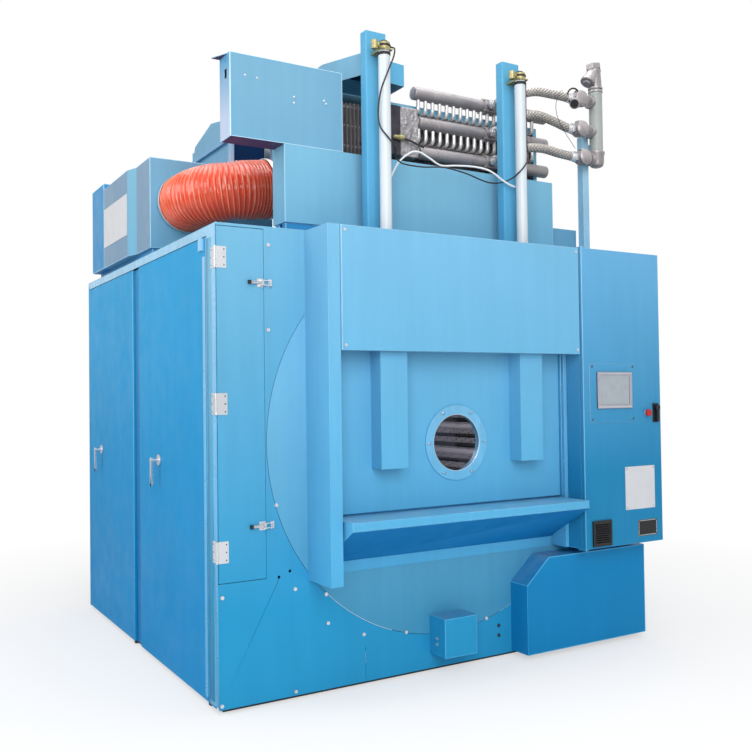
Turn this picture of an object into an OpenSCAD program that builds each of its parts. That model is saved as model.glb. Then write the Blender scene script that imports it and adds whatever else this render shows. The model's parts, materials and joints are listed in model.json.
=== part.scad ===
// Industrial pass-through drying tumbler: rotating perforated drum on support
// rollers, lifting loading and unloading doors driven by air cylinders, steam
// heater and fan unit on the roof, control cabinet at the front right.
// Millimetres, Z up, front towards -Y. Modelling zero is the front left lower
// corner of the body; every node is moved so the origin is the centre of the base.

/* [Main body] */
// width of the body
body_w = 2640; // [2580:10:2760]
// depth of the body, front panel to rear panel
body_d = 2475; // [2400:25:2600]
// height of the body top above the floor
body_h = 2250; // [2240:10:2320]
// thickness of the cover sheets
sheet = 3; // [2:0.5:4]
// section of the square frame tubes
frame_tube = 50; // [40:5:60]
// wall thickness of the frame tubes
frame_wall = 4; // [3:1:6]
// height of the two skid beams that stand on the floor
skid_h = 80; // [60:10:100]
// height of the drum axis
drum_z = 1220; // [1210:5:1225]
// distance of the drum axis from the left side
drum_x = 1275; // [1270:5:1290]

/* [Drum] */
// outer radius of the drum shell
drum_r = 940; // [900:10:945]
// thickness of the drum shell
drum_wall = 4; // [3:1:6]
// length of the drum
drum_len = 1975; // [1900:25:1980]
// radius of the open drum mouth
mouth_r = 820; // [810:5:840]
// height of the ride rings above the shell
ring_h = 10; // [8:1:14]
// width of the ride rings
ring_w = 70; // [60:5:90]
// height of the lifting ribs inside the drum
lifter_h = 110; // [80:10:150]
// number of lifting ribs
lifters = 4; // [3:1:6]

/* [Rollers and drive] */
// radius of the support wheels
wheel_r = 110; // [100:5:120]
// width of the support wheels
wheel_w = 60; // [50:5:65]
// angle of the rollers from the lowest point of the drum
roller_deg = 35; // [33:1:36]
// radius of the roller shafts
shaft_r = 20; // [16:1:25]
// radius of the large belt pulley
pulley_r = 140; // [120:5:145]
// radius of the motor pulley
motor_pulley_r = 55; // [45:5:60]
// width of the belt pulleys
pulley_w = 40; // [30:5:45]
// radius of the drive motor
motor_r = 105; // [90:5:110]

/* [Doorway and lift doors] */
// width of the loading opening
doorway_w = 1300; // [1200:20:1320]
// height of the loading opening
doorway_h = 750; // [700:10:760]
// bottom of the loading opening
doorway_z = 935; // [925:5:945]
// width of the lift door
door_w = 1430; // [1420:2:1436]
// height of the lift door
door_h = 880; // [860:10:890]
// bottom edge of the lift door
door_z = 870; // [866:2:880]
// thickness of the lift door
door_t = 30; // [26:1:32]
// height the lift door travels
door_travel = 800; // [700:50:800]
// clear radius of the round window
glass_r = 145; // [120:5:155]
// outer radius of the window ring
window_ring_r = 195; // [180:5:200]
// height of the window centre
window_z = 1193; // [1180:2:1210]
// width of the hat channels on the lift door
channel_w = 154; // [140:2:160]
// depth of the hat channels
channel_d = 95; // [90:1:98]
// bottom end of the hat channels
channel_z = 1085; // [1070:5:1100]

/* [Lift posts and cylinders] */
// distance between the two lift posts
post_pitch = 870; // [850:10:890]
// width of a lift post
post_w = 120; // [100:5:130]
// depth of a lift post
post_d = 60; // [50:2:60]
// height of the lift posts above the roof
post_rise = 1025; // [1000:25:1050]
// outer radius of the air cylinders
barrel_r = 30; // [28:0.5:32]
// bore radius of the air cylinders
bore_r = 26; // [24:0.5:27]
// radius of the piston rods
rod_r = 12.5; // [10:0.5:14]
// running clearance of rods, pins and pistons
run_gap = 0.06; // [0.05:0.01:0.09]

/* [Front covers] */
// how far the header panel stands in front of the body
header_out = 240; // [236:2:246]
// bottom edge of the header panel
header_z = 1656; // [1640:4:1680]
// width of the left column cover
column_w = 64; // [56:2:66]
// how far the sill shelf stands in front of the body
sill_out = 314; // [300:2:330]
// top of the sill shelf
sill_z = 860; // [850:2:862]
// height of the front lip of the sill
sill_lip = 40; // [30:5:50]
// width of the drive cover
drive_cover_w = 900; // [880:10:910]
// height of the drive cover
drive_cover_h = 515; // [505:5:520]
// depth of the drive cover and the junction box
cover_d = 140; // [132:2:150]

/* [Control cabinet] */
// width of the control cabinet
cab_w = 610; // [604:2:612]
// depth of the control cabinet
cab_d = 250; // [240:5:280]
// bottom of the control cabinet
cab_z = 580; // [572:4:600]
// thickness of the cabinet door
cab_door_t = 22; // [20:1:25]
// width of the touch panel
hmi_w = 271; // [260:1:280]
// height of the touch panel
hmi_h = 205; // [195:1:210]
// side of the square fan grille
grille_s = 142; // [130:2:150]
// radius of the red button
button_r = 20; // [16:1:22]
// travel of the red button
button_travel = 4; // [3:0.5:5]

/* [Side doors] */
// thickness of the side doors
side_door_t = 25; // [22:1:26]
// width of the corner strip in front of the first side door
corner_strip = 117; // [112:1:122]
// length of the front side door
side_door_1 = 1117; // [1080:5:1120]
// recessed gap between the side doors
side_gap = 130; // [120:5:140]
// how far the lever handles stand out
handle_out = 50; // [44:1:60]
// length of the handle levers
lever_len = 136; // [120:2:150]
// handle of the front side door, from the door's rear edge
handle_back_1 = 370; // [340:5:400]
// handle of the rear side door, from the door's rear edge
handle_back_2 = 314; // [290:5:350]
// width of the access door at the front left
access_w = 238; // [234:1:239]

/* [Roof equipment] */
// height of the dark gap under the roof boxes
roof_gap = 50; // [44:2:60]
// height of the long box on the roof
plenum_h = 385; // [375:5:395]
// depth of the plenum box
plenum_d = 140; // [130:2:146]
// height of the heater box
heater_h = 750; // [740:5:770]
// height of the hood
hood_h = 116; // [90:2:130]
// outer radius of the steam headers
header_pipe_r = 36; // [30:1:40]
// outer radius of the coil tubes
coil_tube_r = 11; // [9:1:13]
// distance between neighbouring coil tubes
coil_pitch = 48; // [44:1:56]
// outer radius of the steam hoses
hose_r = 26; // [22:1:27]
// outer radius of the riser pipe
riser_r = 40; // [34:1:42]
// outer radius of the air duct
duct_r = 165; // [150:5:170]
// bend radius of the air duct
duct_bend = 230; // [220:5:240]
// radius of the fan wheel
fan_r = 140; // [120:5:145]
// number of fan blades
fan_blades = 12; // [8:1:16]

/* [Hidden] */
$fa = 3;
$fs = 2;
blue = [0.36, 0.63, 0.81];
steel = [0.55, 0.56, 0.58];
dark = [0.12, 0.12, 0.13];
bright = [0.78, 0.79, 0.8];

origin_x = (body_w - handle_out) / 2;
origin_y = body_d / 2;
lift = body_h - 2250;            // roof equipment follows the body height
post_top = body_h + post_rise;
inset = 30;                     // frame stands this far inside the covers
seam_gap = 2;                   // dark joint between neighbouring covers
ring_r = 1028;                  // round front plate around the doorway
casing_r = 985;                 // inside of the fixed casing round the drum
drum_y = (body_d - drum_len) / 2;
ride_r = drum_r + ring_h;
wheel_y1 = drum_y + 200;
wheel_y2 = body_d - wheel_y1;
roller_dist = ride_r + wheel_r + 0.3;
roller_dx = roller_dist * sin(roller_deg);
roller_z = drum_z - roller_dist * cos(roller_deg);
block_dy = 80;                  // bearing block beside its wheel
drive_x = drum_x + roller_dx;   // right hand roller carries the pulley
motor_x = body_w - 160;
motor_z = 200;
pulley_y = -100;
belt_t = 8;
belt_gap = 0.5;
bulk_y = drum_y - 15;
door_y = -95;                   // front face of the lift door
barrel_y = -135;
barrel_z = body_h - 50;
barrel_len = door_travel + 150; // holds the piston over its whole stroke
post_xs = [drum_x - post_pitch / 2, drum_x + post_pitch / 2];
header_x0 = 524;
header_x1 = 2022;
cab_x = body_w - cab_w;
cab_top = body_h - 5;
cab_axis = 10;                  // door pivot, from its outer corner
top_z = body_h - sheet;         // underside of the roof sheet
side_bottom = 22;
side_top = body_h - 50;
side_axis = 12;
door1_y = corner_strip + 6;
door2_y = door1_y + side_door_1 + side_gap;
door2_len = body_d - 41 - door2_y;
handle_z = 1110;
hinge_zs = [body_h - 160, body_h / 2 + 288, 734];
latch_zs = [body_h - 270, 840];
hinge_axis = -5;
roof_z = body_h + roof_gap;
plenum_top = roof_z + plenum_h;
heater_top = roof_z + heater_h;
hood_z = heater_top + 42;
coil_drop = 116;                // hairpin tubes reach this far below their header
coil_y = 190;
coil_zs = [heater_top + 54, heater_top - 108, heater_top - 272];
coil_x0 = 1220;
coil_x1 = 2175;
union_x = 1736;                 // joint between the two coil sections
heater_y = 236;                 // front of the heater box
upper_box_x = [110, 720];
duct_start = [240, 1110, roof_z + 270];
duct_tilt = 8.1;
duct_straight = 120;
fan_y = 1430;
housing_top = roof_z + 520;
fan_z = housing_top + 165;
heater_x = 800;
air_hole = [1000, 1550, 400, 900];  // hot air opening, roof to casing

// ---------- helpers ----------
module at() { translate([-origin_x, -origin_y, 0]) children(); }
module rear() { translate([0, body_d, 0]) mirror([0, 1, 0]) children(); }
module box(x0, x1, y0, y1, z0, z1) { translate([x0, y0, z0]) cube([x1 - x0, y1 - y0, z1 - z0]); }
module cx(x0, x1, y, z, r) { translate([x0, y, z]) rotate([0, 90, 0]) cylinder(r = r, h = x1 - x0); }
module cy(x, y0, y1, z, r) { translate([x, y0, z]) rotate([-90, 0, 0]) cylinder(r = r, h = y1 - y0); }
module cz(x, y, z0, z1, r) { translate([x, y, z0]) cylinder(r = r, h = z1 - z0); }
// hollow sheet box, wall w, all sides closed
module shell(x0, x1, y0, y1, z0, z1, w) {
  difference() { box(x0, x1, y0, y1, z0, z1); box(x0 + w, x1 - w, y0 + w, y1 - w, z0 + w, z1 - w); }
}
// tray open towards +Y, +X or -X
module tray_y(x0, x1, y0, y1, z0, z1, w) {
  difference() { box(x0, x1, y0, y1, z0, z1); box(x0 + w, x1 - w, y0 + w, y1 + 1, z0 + w, z1 - w); }
}
module tray_x(x0, x1, y0, y1, z0, z1, w) {
  difference() { box(x0, x1, y0, y1, z0, z1); box(x0 + w, x1 + 1, y0 + w, y1 - w, z0 + w, z1 - w); }
}
// extruded along X from a profile given as [y, z]
module prism_x(x0, x1, pts) { translate([x0, 0, 0]) rotate([90, 0, 90]) linear_extrude(x1 - x0) polygon(pts); }
// extruded along Y from a profile given as [x, z]
module prism_y(y0, y1, pts) { translate([0, y1, 0]) rotate([90, 0, 0]) linear_extrude(y1 - y0) polygon(pts); }
module prism_z(z0, z1, pts) { translate([0, 0, z0]) linear_extrude(z1 - z0) polygon(pts); }

// smooth tube along a route of points
function unit(v) = v / norm(v);
function cr(p0, p1, p2, p3, t) = 0.5 * ((2 * p1) + (p2 - p0) * t + (2 * p0 - 5 * p1 + 4 * p2 - p3) * t * t + (3 * p1 - p0 - 3 * p2 + p3) * t * t * t);
function pt(r, i) = r[max(0, min(len(r) - 1, i))];
function smooth(r, k) = concat([for (i = [0:len(r) - 2]) for (j = [0:k - 1]) cr(pt(r, i - 1), r[i], r[i + 1], pt(r, i + 2), j / k)], [r[len(r) - 1]]);
function tangent(p, i) = unit(pt(p, i + 1) - pt(p, i - 1));
function side_v(t) = abs(t[2]) > 0.95 ? unit(cross(t, [0, 1, 0])) : unit(cross(t, [0, 0, 1]));
module tube_along(route, r, k, n) {
  p = smooth(route, k);
  m = len(p);
  pts = concat([for (i = [0:m - 1]) let (t = tangent(p, i), s = side_v(t), u = cross(s, t))
      for (j = [0:n - 1]) p[i] + r * (cos(360 * j / n) * s + sin(360 * j / n) * u)], [p[0], p[m - 1]]);
  walls = [for (i = [0:m - 2]) for (j = [0:n - 1]) let (a = i * n + j, b = i * n + (j + 1) % n) each [[a, a + n, b], [b, a + n, b + n]]];
  caps = concat([for (j = [0:n - 1]) [m * n, j, (j + 1) % n]], [for (j = [0:n - 1]) [m * n + 1, (m - 1) * n + (j + 1) % n, (m - 1) * n + j]]);
  polyhedron(points = pts, faces = concat(walls, caps));
}

// ---------- frame and covers ----------
module tube_bars(w) {
  k = w ? frame_wall : 0;
  t = frame_tube;
  for (x = [inset, body_w - inset - t]) {
    for (y = [inset, body_d / 2 - t / 2 + 65, body_d - inset - t])
      box(x + k, x + t - k, y + k, y + t - k, skid_h - 1 + k, side_top + 40 - k);
    box(x + k, x + t - k, inset + k, body_d - inset - k, side_top - 10 + k, side_top + 40 - k);
  }
  for (y = [inset, body_d - inset - t])
    box(inset + k, body_w - inset - k, y + k, y + t - k, side_top - 10 + k, side_top + 40 - k);
}
module base_frame() color(dark) at() {
  difference() {
    union() {
      tube_bars(false);
      for (x = [inset, body_w - inset - 80]) box(x, x + 80, inset, body_d - inset, 0, skid_h);
      for (y = [inset, wheel_y1 + block_dy - 30, wheel_y2 - block_dy - 30, body_d - inset - 60])
        box(inset, body_w - inset, y, y + 60, 0, skid_h);
      // pivot brackets and pins of the side doors
      for (y = [door1_y + side_axis, door2_y + side_axis]) {
        box(4, inset + 5, y - 12, y + 16, 6, 18);
        cz(side_axis, y, 10, side_bottom + 18, 6);
        box(4, inset + 5, y - 12, y + 16, side_top + 3, side_top + 13);
        cz(side_axis, y, side_top - 18, side_top + 6, 6);
      }
      // motor plate
      box(motor_x - 110, body_w - inset - 5, 120, 420, skid_h - 5, motor_z - motor_r - 3);
    }
    tube_bars(true);
    for (x = [inset, body_w - inset - 80])
      box(x + frame_wall, x + 80 - frame_wall, inset + 70, body_d - inset - 70, frame_wall, skid_h - frame_wall);
  }
}
module doorway(y0, y1) { box(drum_x - doorway_w / 2, drum_x + doorway_w / 2, y0, y1, doorway_z, doorway_z + doorway_h); }
module front_panel() color(blue) at() difference() {
  box(0, body_w, 0, sheet, side_bottom - 2, top_z);
  cy(drum_x, -1, sheet + 1, drum_z, ring_r + seam_gap);
  box(-1, access_w + seam_gap, -1, sheet + 1, 590, body_h - 13);
  cy(drive_x, -1, sheet + 1, roller_z, shaft_r + 6);
  cy(motor_x, -1, sheet + 1, motor_z, 22);
  for (h = [[303, 591], [360, 613]]) cy(h[0], -1, sheet + 1, h[1], 7);
  // upright joint of two lower plates
  box(769, 771, -1, sheet + 1, 0, 200);
}
module front_ring() color(blue) at() difference() {
  intersection() { cy(drum_x, 0, sheet, drum_z, ring_r); box(0, body_w, -1, sheet + 1, 0, top_z); }
  doorway(-1, sheet + 1);
}
module rear_panel() color(blue) at() difference() {
  box(0, body_w, body_d - sheet, body_d, side_bottom - 2, top_z);
  doorway(body_d - sheet - 1, body_d + 1);
}
module throat() {
  difference() {
    union() {
      cy(drum_x, bulk_y - sheet, bulk_y, drum_z, casing_r + 1);
      box(drum_x - doorway_w / 2 - sheet, drum_x + doorway_w / 2 + sheet, sheet, bulk_y - 1, doorway_z - sheet, doorway_z + doorway_h + sheet);
    }
    doorway(0, bulk_y + 1);
  }
}
module drum_casing() color(steel) at() {
  difference() {
    translate([drum_x, 90, drum_z]) rotate([-90, 0, 0]) rotate([0, 0, 134])
      rotate_extrude(angle = 272, $fn = 180) translate([casing_r, 0]) square([sheet, body_d - 180]);
    box(air_hole[0], air_hole[1], air_hole[2], air_hole[3], drum_z + 500, body_h);
  }
  throat();
  rear() throat();
}
module side_strips() color(blue) at() {
  difference() {
    box(0, sheet, sheet, body_d - sheet, side_bottom - 2, top_z);
    box(-1, sheet + 1, corner_strip, body_d - 38, side_bottom - 3, side_top + 4);
    box(-1, sheet + 1, 1, 40, -1, 30);
  }
  box(14, 14 + sheet, door1_y + side_door_1 + 4, door2_y - 8, side_bottom, side_top);
}
module body_skins() color(blue) at() {
  for (y = [sheet, body_d / 2 + 2])
    box(body_w - sheet, body_w, y, y + body_d / 2 - sheet - 2, side_bottom - 2, top_z);
  difference() {
    box(0, body_w, 0, body_d, top_z, body_h);
    box(air_hole[0], air_hole[1], air_hole[2], air_hole[3], top_z - 1, body_h + 1);
  }
}
module column_covers() color(blue) at() {
  difference() {
    box(519 - column_w, 519, -header_out, 0, 560, cab_top);
    box(519 - column_w + sheet, 519 - sheet, -header_out + sheet, 1, 560 + sheet, cab_top + 1);
  }
  difference() {
    box(2006, 2028, -120, 0, cab_z, cab_top);
    box(2006 + sheet, 2029 - sheet, -120 + sheet, 1, cab_z + sheet, cab_top + 1);
  }
}
module header_shape(x0, x1) {
  tray_y(x0, x1, -header_out, -header_out + 34, header_z, cab_top, sheet);
}
module header_panel() color(blue) at() header_shape(header_x0, header_x1);
module sill_shape(x0, x1, f0, f1) {
  so = sill_out;
  difference() {
    prism_x(x0, x1, [[-so, sill_z - sill_lip], [-so, sill_z], [0, sill_z], [0, 628]]);
    prism_x(x0 + sheet, x1 - sheet, [[-so + sheet, sill_z - sill_lip + sheet], [-so + sheet, sill_z - sheet], [-sheet, sill_z - sheet], [-sheet, 633 + sheet]]);
  }
  box(f0, f1, -sheet, 0, 575, 628.5);
}
module sill_shelf() color(blue) at() sill_shape(530, 2000, 636, 1990);
module rear_covers() color(blue) at() rear() {
  for (x = [519 - column_w, 2031]) difference() {
    box(x, x + column_w, -header_out, 0, 560, cab_top);
    box(x + sheet, x + column_w - sheet, -header_out + sheet, 1, 560 + sheet, cab_top + 1);
  }
  header_shape(header_x0, header_x1 + 4);
  sill_shape(530, 2020, 636, 1990);
}
module posts_one_end() {
  for (x = post_xs) {
    difference() {
      union() {
        box(x - post_w / 2 + 8, x + post_w / 2 - 8, -post_d, 0, 1800, post_top);
        box(x - post_w / 2, x + post_w / 2, -post_d + 8, -8, 1800, post_top);
        for (dx = [-1, 1]) for (y = [-post_d + 8, -8]) cz(x + dx * (post_w / 2 - 8), y, 1800, post_top, 8);
      }
      box(x - post_w / 2 + 5, x + post_w / 2 - 5, -post_d + 5, -5, 1790, post_top - 5);
    }
  }
  // guides at both sides of the door
  for (x0 = [drum_x - door_w / 2 - 13, drum_x + door_w / 2 + 3])
    box(x0, x0 + 10, door_y - 15, 0, door_z + 5, cab_top - 5);
}
module lift_posts() color(blue) at() { posts_one_end(); rear() posts_one_end(); }
module barrels_one_end() {
  for (x = post_xs) difference() {
    cz(x, barrel_y, barrel_z, barrel_z + barrel_len, barrel_r);
    cz(x, barrel_y, barrel_z + 12, barrel_z + barrel_len - 10, bore_r);
    cz(x, barrel_y, barrel_z - 1, barrel_z + 13, rod_r + run_gap);
  }
}
module cylinder_barrels() color(bright) at() { barrels_one_end(); rear() barrels_one_end(); }
module fittings_one_end() {
  z = barrel_z + barrel_len;
  for (x = post_xs) {
    // clamp plate on the post carries the cylinder
    box(x - 31, x + 31, barrel_y - 34, -post_d, z, z + 8);
    cz(x, barrel_y, z + 7, z + 42, 31);
    cy(x, barrel_y, -post_d - 12, z + 22, 9);
    cz(x, -post_d - 22, z + 7, z + 48, 12);
    cx(x - 54, x, barrel_y, z + 25, 13);
    cz(x - 54, barrel_y, z + 4, z + 46, 17);
  }
}
module cylinder_fittings() color([0.75, 0.6, 0.3]) at() { fittings_one_end(); rear() fittings_one_end(); }
module screw(x, z, r, h, y) { cy(x, y - h, y, z, r); }
module front_hardware() color(bright) at() {
  // bolts on the front plates
  for (b = [[263, body_h - 88], [259, 1759], [18, 529], [385, 525], [551, 480], [760, 255], [13, 40], [384, 40]])
    screw(b[0], b[1], 9, 6, 0);
  for (b = [[-984, -289], [-724, -740], [-715, -881], [-265, -991], [251, -992]])
    screw(drum_x + b[0], drum_z + b[1], 9, 6, 0);
  // header panel corners
  for (x = [header_x0 + 22, header_x1 - 22]) for (z = [header_z + 24, cab_top - 24]) screw(x, z, 8, 4, -header_out);
  // junction box and right column
  for (z = [160, 190]) cx(1150, 1156, -70, z, 8);
  for (z = [900, 1060, 1220, 1490]) cx(2003.3, 2006, -100, z, 8);
  // fixed hinge leaves with pins
  for (z = hinge_zs) {
    box(-2, 0, 1, 60, z - 50, z + 50);
    for (s = [-50, 18]) {
      box(-2, 0, hinge_axis, 2, z + s, z + s + 32);
      cz(hinge_axis, hinge_axis, z + s, z + s + 32, 5);
    }
    cz(hinge_axis, hinge_axis, z - 50, z + 50, 3);
    for (s = [-36, 0, 36]) for (y = [20, 46]) if (abs(s) > 1 || y > 30) cx(-4, -2, y, z + s, 4);
  }
  // keepers of the two latches
  for (z = latch_zs) box(262, 279, -6, 0, z - 18, z + 18);
}
module drive_cover() color(blue) at() {
  x0 = body_w - 940;
  x1 = x0 + drive_cover_w;
  z0 = 30;
  z1 = z0 + drive_cover_h;
  difference() {
    prism_y(-cover_d, 0, [[x0, z0], [x1, z0], [x1, z1], [x0 + 158, z1], [x0, z1 - 140]]);
    prism_y(-cover_d + 2, 1, [[x0 + 2, z0 + 2], [x1 - 2, z0 + 2], [x1 - 2, z1 - 2], [x0 + 159, z1 - 2], [x0 + 2, z1 - 141]]);
  }
  tray_y(1156, 1360, -cover_d, 0, 100, 300, 2);
}
module motors() color(steel) at() {
  difference() {
    union() {
      cy(motor_x, 130, 420, motor_z, motor_r);
      cy(motor_x, 20, 131, motor_z, 60);
      box(motor_x - 70, motor_x + 70, 150, 400, motor_z - motor_r - 3, motor_z - 40);
      box(motor_x - 50, motor_x + 50, 200, 330, motor_z + 60, motor_z + motor_r + 35);
    }
    cy(motor_x, 10, 200, motor_z, 14 + run_gap);
  }
  difference() {
    union() {
      cx(743, 980, fan_y, fan_z, 90);
      cx(975, 1010, fan_y, fan_z, 60);
      box(800, 930, fan_y - 50, fan_y + 50, fan_z + 60, fan_z + 125);
    }
    cx(742, 800, fan_y, fan_z, 12 + run_gap);
  }
}
module drive_belt() color(dark) at() {
  d = [motor_x - drive_x, motor_z - roller_z];
  dist = norm(d);
  ang = atan2(d[1], d[0]);
  R = pulley_r + belt_gap;
  r = motor_pulley_r + belt_gap;
  b = acos((R - r) / dist);
  difference() {
    belt_solid(R + belt_t, r + belt_t, ang, b, pulley_y + 6, pulley_y + pulley_w - 6);
    belt_solid(R, r, ang, b, pulley_y, pulley_y + pulley_w);
  }
}
module belt_solid(R, r, ang, b, y0, y1) {
  cy(drive_x, y0, y1, roller_z, R);
  cy(motor_x, y0, y1, motor_z, r);
  prism_y(y0, y1, [[drive_x + R * cos(ang + b), roller_z + R * sin(ang + b)], [drive_x, roller_z],
    [drive_x + R * cos(ang - b), roller_z + R * sin(ang - b)],
    [motor_x + r * cos(ang - b), motor_z + r * sin(ang - b)], [motor_x, motor_z],
    [motor_x + r * cos(ang + b), motor_z + r * sin(ang + b)]]);
}
module bearing_blocks() color(dark) at() {
  for (x = [drum_x - roller_dx, drum_x + roller_dx])
    for (y = [wheel_y1 + block_dy, wheel_y2 - block_dy]) difference() {
      union() {
        box(x - 75, x + 75, y - 28, y + 28, skid_h, roller_z - 30);
        box(x - 45, x + 45, y - 28, y + 28, roller_z - 35, roller_z);
        cy(x, y - 28, y + 28, roller_z, 45);
      }
      cy(x, y - 30, y + 30, roller_z, shaft_r + run_gap);
    }
}

// ---------- control cabinet ----------
module cabinet_shell() color(blue) at() {
  difference() {
    box(cab_x, body_w, -cab_d + cab_door_t + 4, 0, cab_z, cab_top);
    box(cab_x + sheet, body_w - sheet, -cab_d, -sheet, cab_z + sheet, cab_top - sheet);
  }
  // pivot lugs above and below the door
  for (z = [cab_z - 8, cab_top + 0.5]) box(cab_x, cab_x + 20, -cab_d, -cab_d + 60, z, z + 7.5);
  for (z = [cab_z - 1, cab_top - 0.5]) box(cab_x, cab_x + 20, -cab_d + cab_door_t + 4, -cab_d + 60, z, z + 1.5);
  for (z = [cab_z - 1, cab_top - 20]) cz(cab_x + cab_axis, -cab_d + cab_axis, z, z + 21, 5 - run_gap);
}
module cabinet_internals() color(bright) at() {
  x0 = cab_x + 50;
  x1 = body_w - 50;
  box(x0, x1, -40, -sheet, 700, 2180);
  for (z = [820, 1080, 1340, 1600, 1860, 2080]) box(x0 + 20, x1 - 20, -50, -39, z - 18, z + 18);
  for (z = [820, 1080, 1340, 1600]) for (i = [0:4]) box(x0 + 30 + i * 88, x0 + 96 + i * 88, -120, -49, z - 55, z + 55);
  box(x0 + 40, x0 + 240, -170, -39, 1730, 1990);
  box(x0 + 280, x1 - 40, -150, -39, 1730, 1960);
}
module on_cabinet() translate([body_w - 2640, 0, 0]) children();
module pivot_y_axis(z0, z1) { cz(cab_x + cab_axis, -cab_d + cab_axis, z0, z1, 5); }
module cabinet_door() color(blue) at() difference() {
  union() {
    tray_y(cab_x, body_w, -cab_d, -cab_d + cab_door_t, cab_z, cab_top, 2);
    for (z = [cab_z, cab_top - 22]) box(cab_x, cab_x + 20, -cab_d, -cab_d + cab_door_t, z, z + 22);
  }
  pivot_y_axis(cab_z - 1, cab_z + 23);
  pivot_y_axis(cab_top - 23, cab_top + 1);
  // touch panel, grille, lock and button openings
  on_cabinet() {
    box(2145, 2380, -cab_d - 1, -cab_d + 3, 1372, 1540);
    box(2094, 2204, -cab_d - 1, -cab_d + 3, 607, 717);
    cy(2592, -cab_d - 1, -cab_d + 3, 1352, 8 + run_gap);
    cy(2517, -cab_d - 1, -cab_d + 3, 1324, 8 + run_gap);
  }
}
module cabinet_plates() color(bright) at() on_cabinet() {
  difference() {
    box(2074, 2428, -cab_d - 3, -cab_d, 1276, 1606);
    box(2145, 2380, -cab_d - 4, -cab_d + 1, 1372, 1540);
  }
  for (x = [2092, 2410]) for (z = [1294, 1588]) screw(x, z, 6, 3, -cab_d - 3);
  box(2339, 2576, -cab_d - 2, -cab_d, 775, 1019);
  box(2435, 2589, -cab_d - 2, -cab_d, 618, 711);
  for (x = [2350, 2565]) for (z = [786, 1008]) screw(x, z, 4, 2, -cab_d - 2);
  for (x = [2443, 2581]) for (z = [626, 703]) screw(x, z, 3, 2, -cab_d - 2);
}
module door_fittings() color(dark) at() on_cabinet() {
  hx = 2262.5;
  hz = 1455.5;
  difference() {
    union() {
      box(hx - hmi_w / 2, hx + hmi_w / 2, -cab_d - 11, -cab_d - 3, hz - hmi_h / 2, hz + hmi_h / 2);
      box(2147, 2378, -cab_d - 4, -cab_d + 45, 1374, 1538);
    }
    box(hx - 112, hx + 112, -cab_d - 12, -cab_d - 9, hz - 80, hz + 84);
  }
  gx = 2149;
  gz = 662;
  difference() {
    box(gx - grille_s / 2, gx + grille_s / 2, -cab_d - 12, -cab_d, gz - grille_s / 2, gz + grille_s / 2);
    for (i = [-4:4]) box(gx - grille_s / 2 + 14, gx + grille_s / 2 - 14, -cab_d - 13, -cab_d + 1, gz + i * 12 - 3, gz + i * 12 + 3);
  }
  difference() {
    box(2570, 2614, -cab_d - 8, -cab_d, 1268, 1377);
    cy(2592, -cab_d - 9, -cab_d + 1, 1352, 8 + run_gap);
  }
  difference() {
    cy(2517, -cab_d - 8, -cab_d, 1324, 15);
    cy(2517, -cab_d - 9, -cab_d + 1, 1324, 8 + run_gap);
  }
}
module cabinet_lock() color(dark) at() on_cabinet() {
  cy(2592, -cab_d - 26, -cab_d + 14, 1352, 8);
  cy(2592, -cab_d - 26, -cab_d - 9, 1352, 17);
  box(2583, 2601, -cab_d - 26, -cab_d - 12, 1274, 1352);
  box(2586, 2625, -cab_d + 8, -cab_d + 12, 1343, 1361);
}
module red_button() color([0.75, 0.08, 0.08]) at() on_cabinet() {
  cy(2517, -cab_d - 22 - button_travel, -cab_d - 10 - button_travel, 1324, button_r);
  cy(2517, -cab_d - 11 - button_travel, -cab_d + 12, 1324, 8);
}

// ---------- roof equipment ----------
module plenum_box() color(blue) at() {
  shell(390, 2130, 80, 80 + plenum_d, roof_z, plenum_top, sheet);
}
module duct_boxes() color(blue) at() {
  x0 = upper_box_x[0];
  x1 = upper_box_x[1];
  difference() {
    box(x0, x1, 80, 210, plenum_top, hood_z - 2);
    box(x0 + sheet, x1 - sheet, 80 + sheet, 210 - sheet, plenum_top + sheet, hood_z - 2 - sheet);
    box(x0 - 10, x0 + 10, 120, 150, hood_z - 117, hood_z - 72);
  }
  prism_z(hood_z - 5, hood_z - 2, [[x0 + 1, 110], [x0 + 1, 209], [x0 - 46, 209]]);
  shell(2200, 2430, 200, 450, body_h, body_h + 200, sheet);
}
module heater_box() color(blue) at() difference() {
  box(heater_x, 2150, heater_y, 1050, roof_z, heater_top);
  box(heater_x + sheet, 2150 - sheet, heater_y + sheet, 1050 - sheet, roof_z + sheet, heater_top - sheet);
  box(heater_x + 6, 2120, heater_y - 10, heater_y + 10, roof_z + 400, heater_top - 38);
  box(heater_x + 6, 1045, heater_y - 10, heater_y + 10, roof_z + 400, heater_top - sheet);
  box(air_hole[0], air_hole[1], air_hole[2], air_hole[3], roof_z - 1, roof_z + 5);
  cx(heater_x - 1, heater_x + 10, duct_start[1] - duct_straight - duct_bend, duct_end_z(), duct_r - 20);
}
function duct_end_z() = duct_start[2] + (heater_x - duct_start[0]) * tan(duct_tilt);
module hood_plan(z0, z1, k) {
  prism_z(z0, z1, [[720 + k, 300], [820 + k, 60 + k], [1110 - k, 100 + k], [1110 - k, 420 - k], [720 + k, 420 - k]]);
}
module coil_hood() color(blue) at() {
  difference() {
    hood_plan(hood_z, hood_z + hood_h, 0);
    hood_plan(hood_z - 1, hood_z + hood_h - sheet, sheet);
  }
  // rear flange standing on the heater box
  box(heater_x + 5, 1105, 417, 420, heater_top, hood_z + 1);
  box(1107, 1110, heater_y + 4, 420, heater_top, hood_z + 1);
}
module heater_fins() color(dark) at() {
  for (x = [heater_x + 10:24:2108]) box(x, x + 2, heater_y + 3.5, 300, roof_z + 404, heater_top - 42);
  for (z = [480, 590, 690]) cx(heater_x + 8, 2114, 272, roof_z + z, 8);
}
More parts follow.
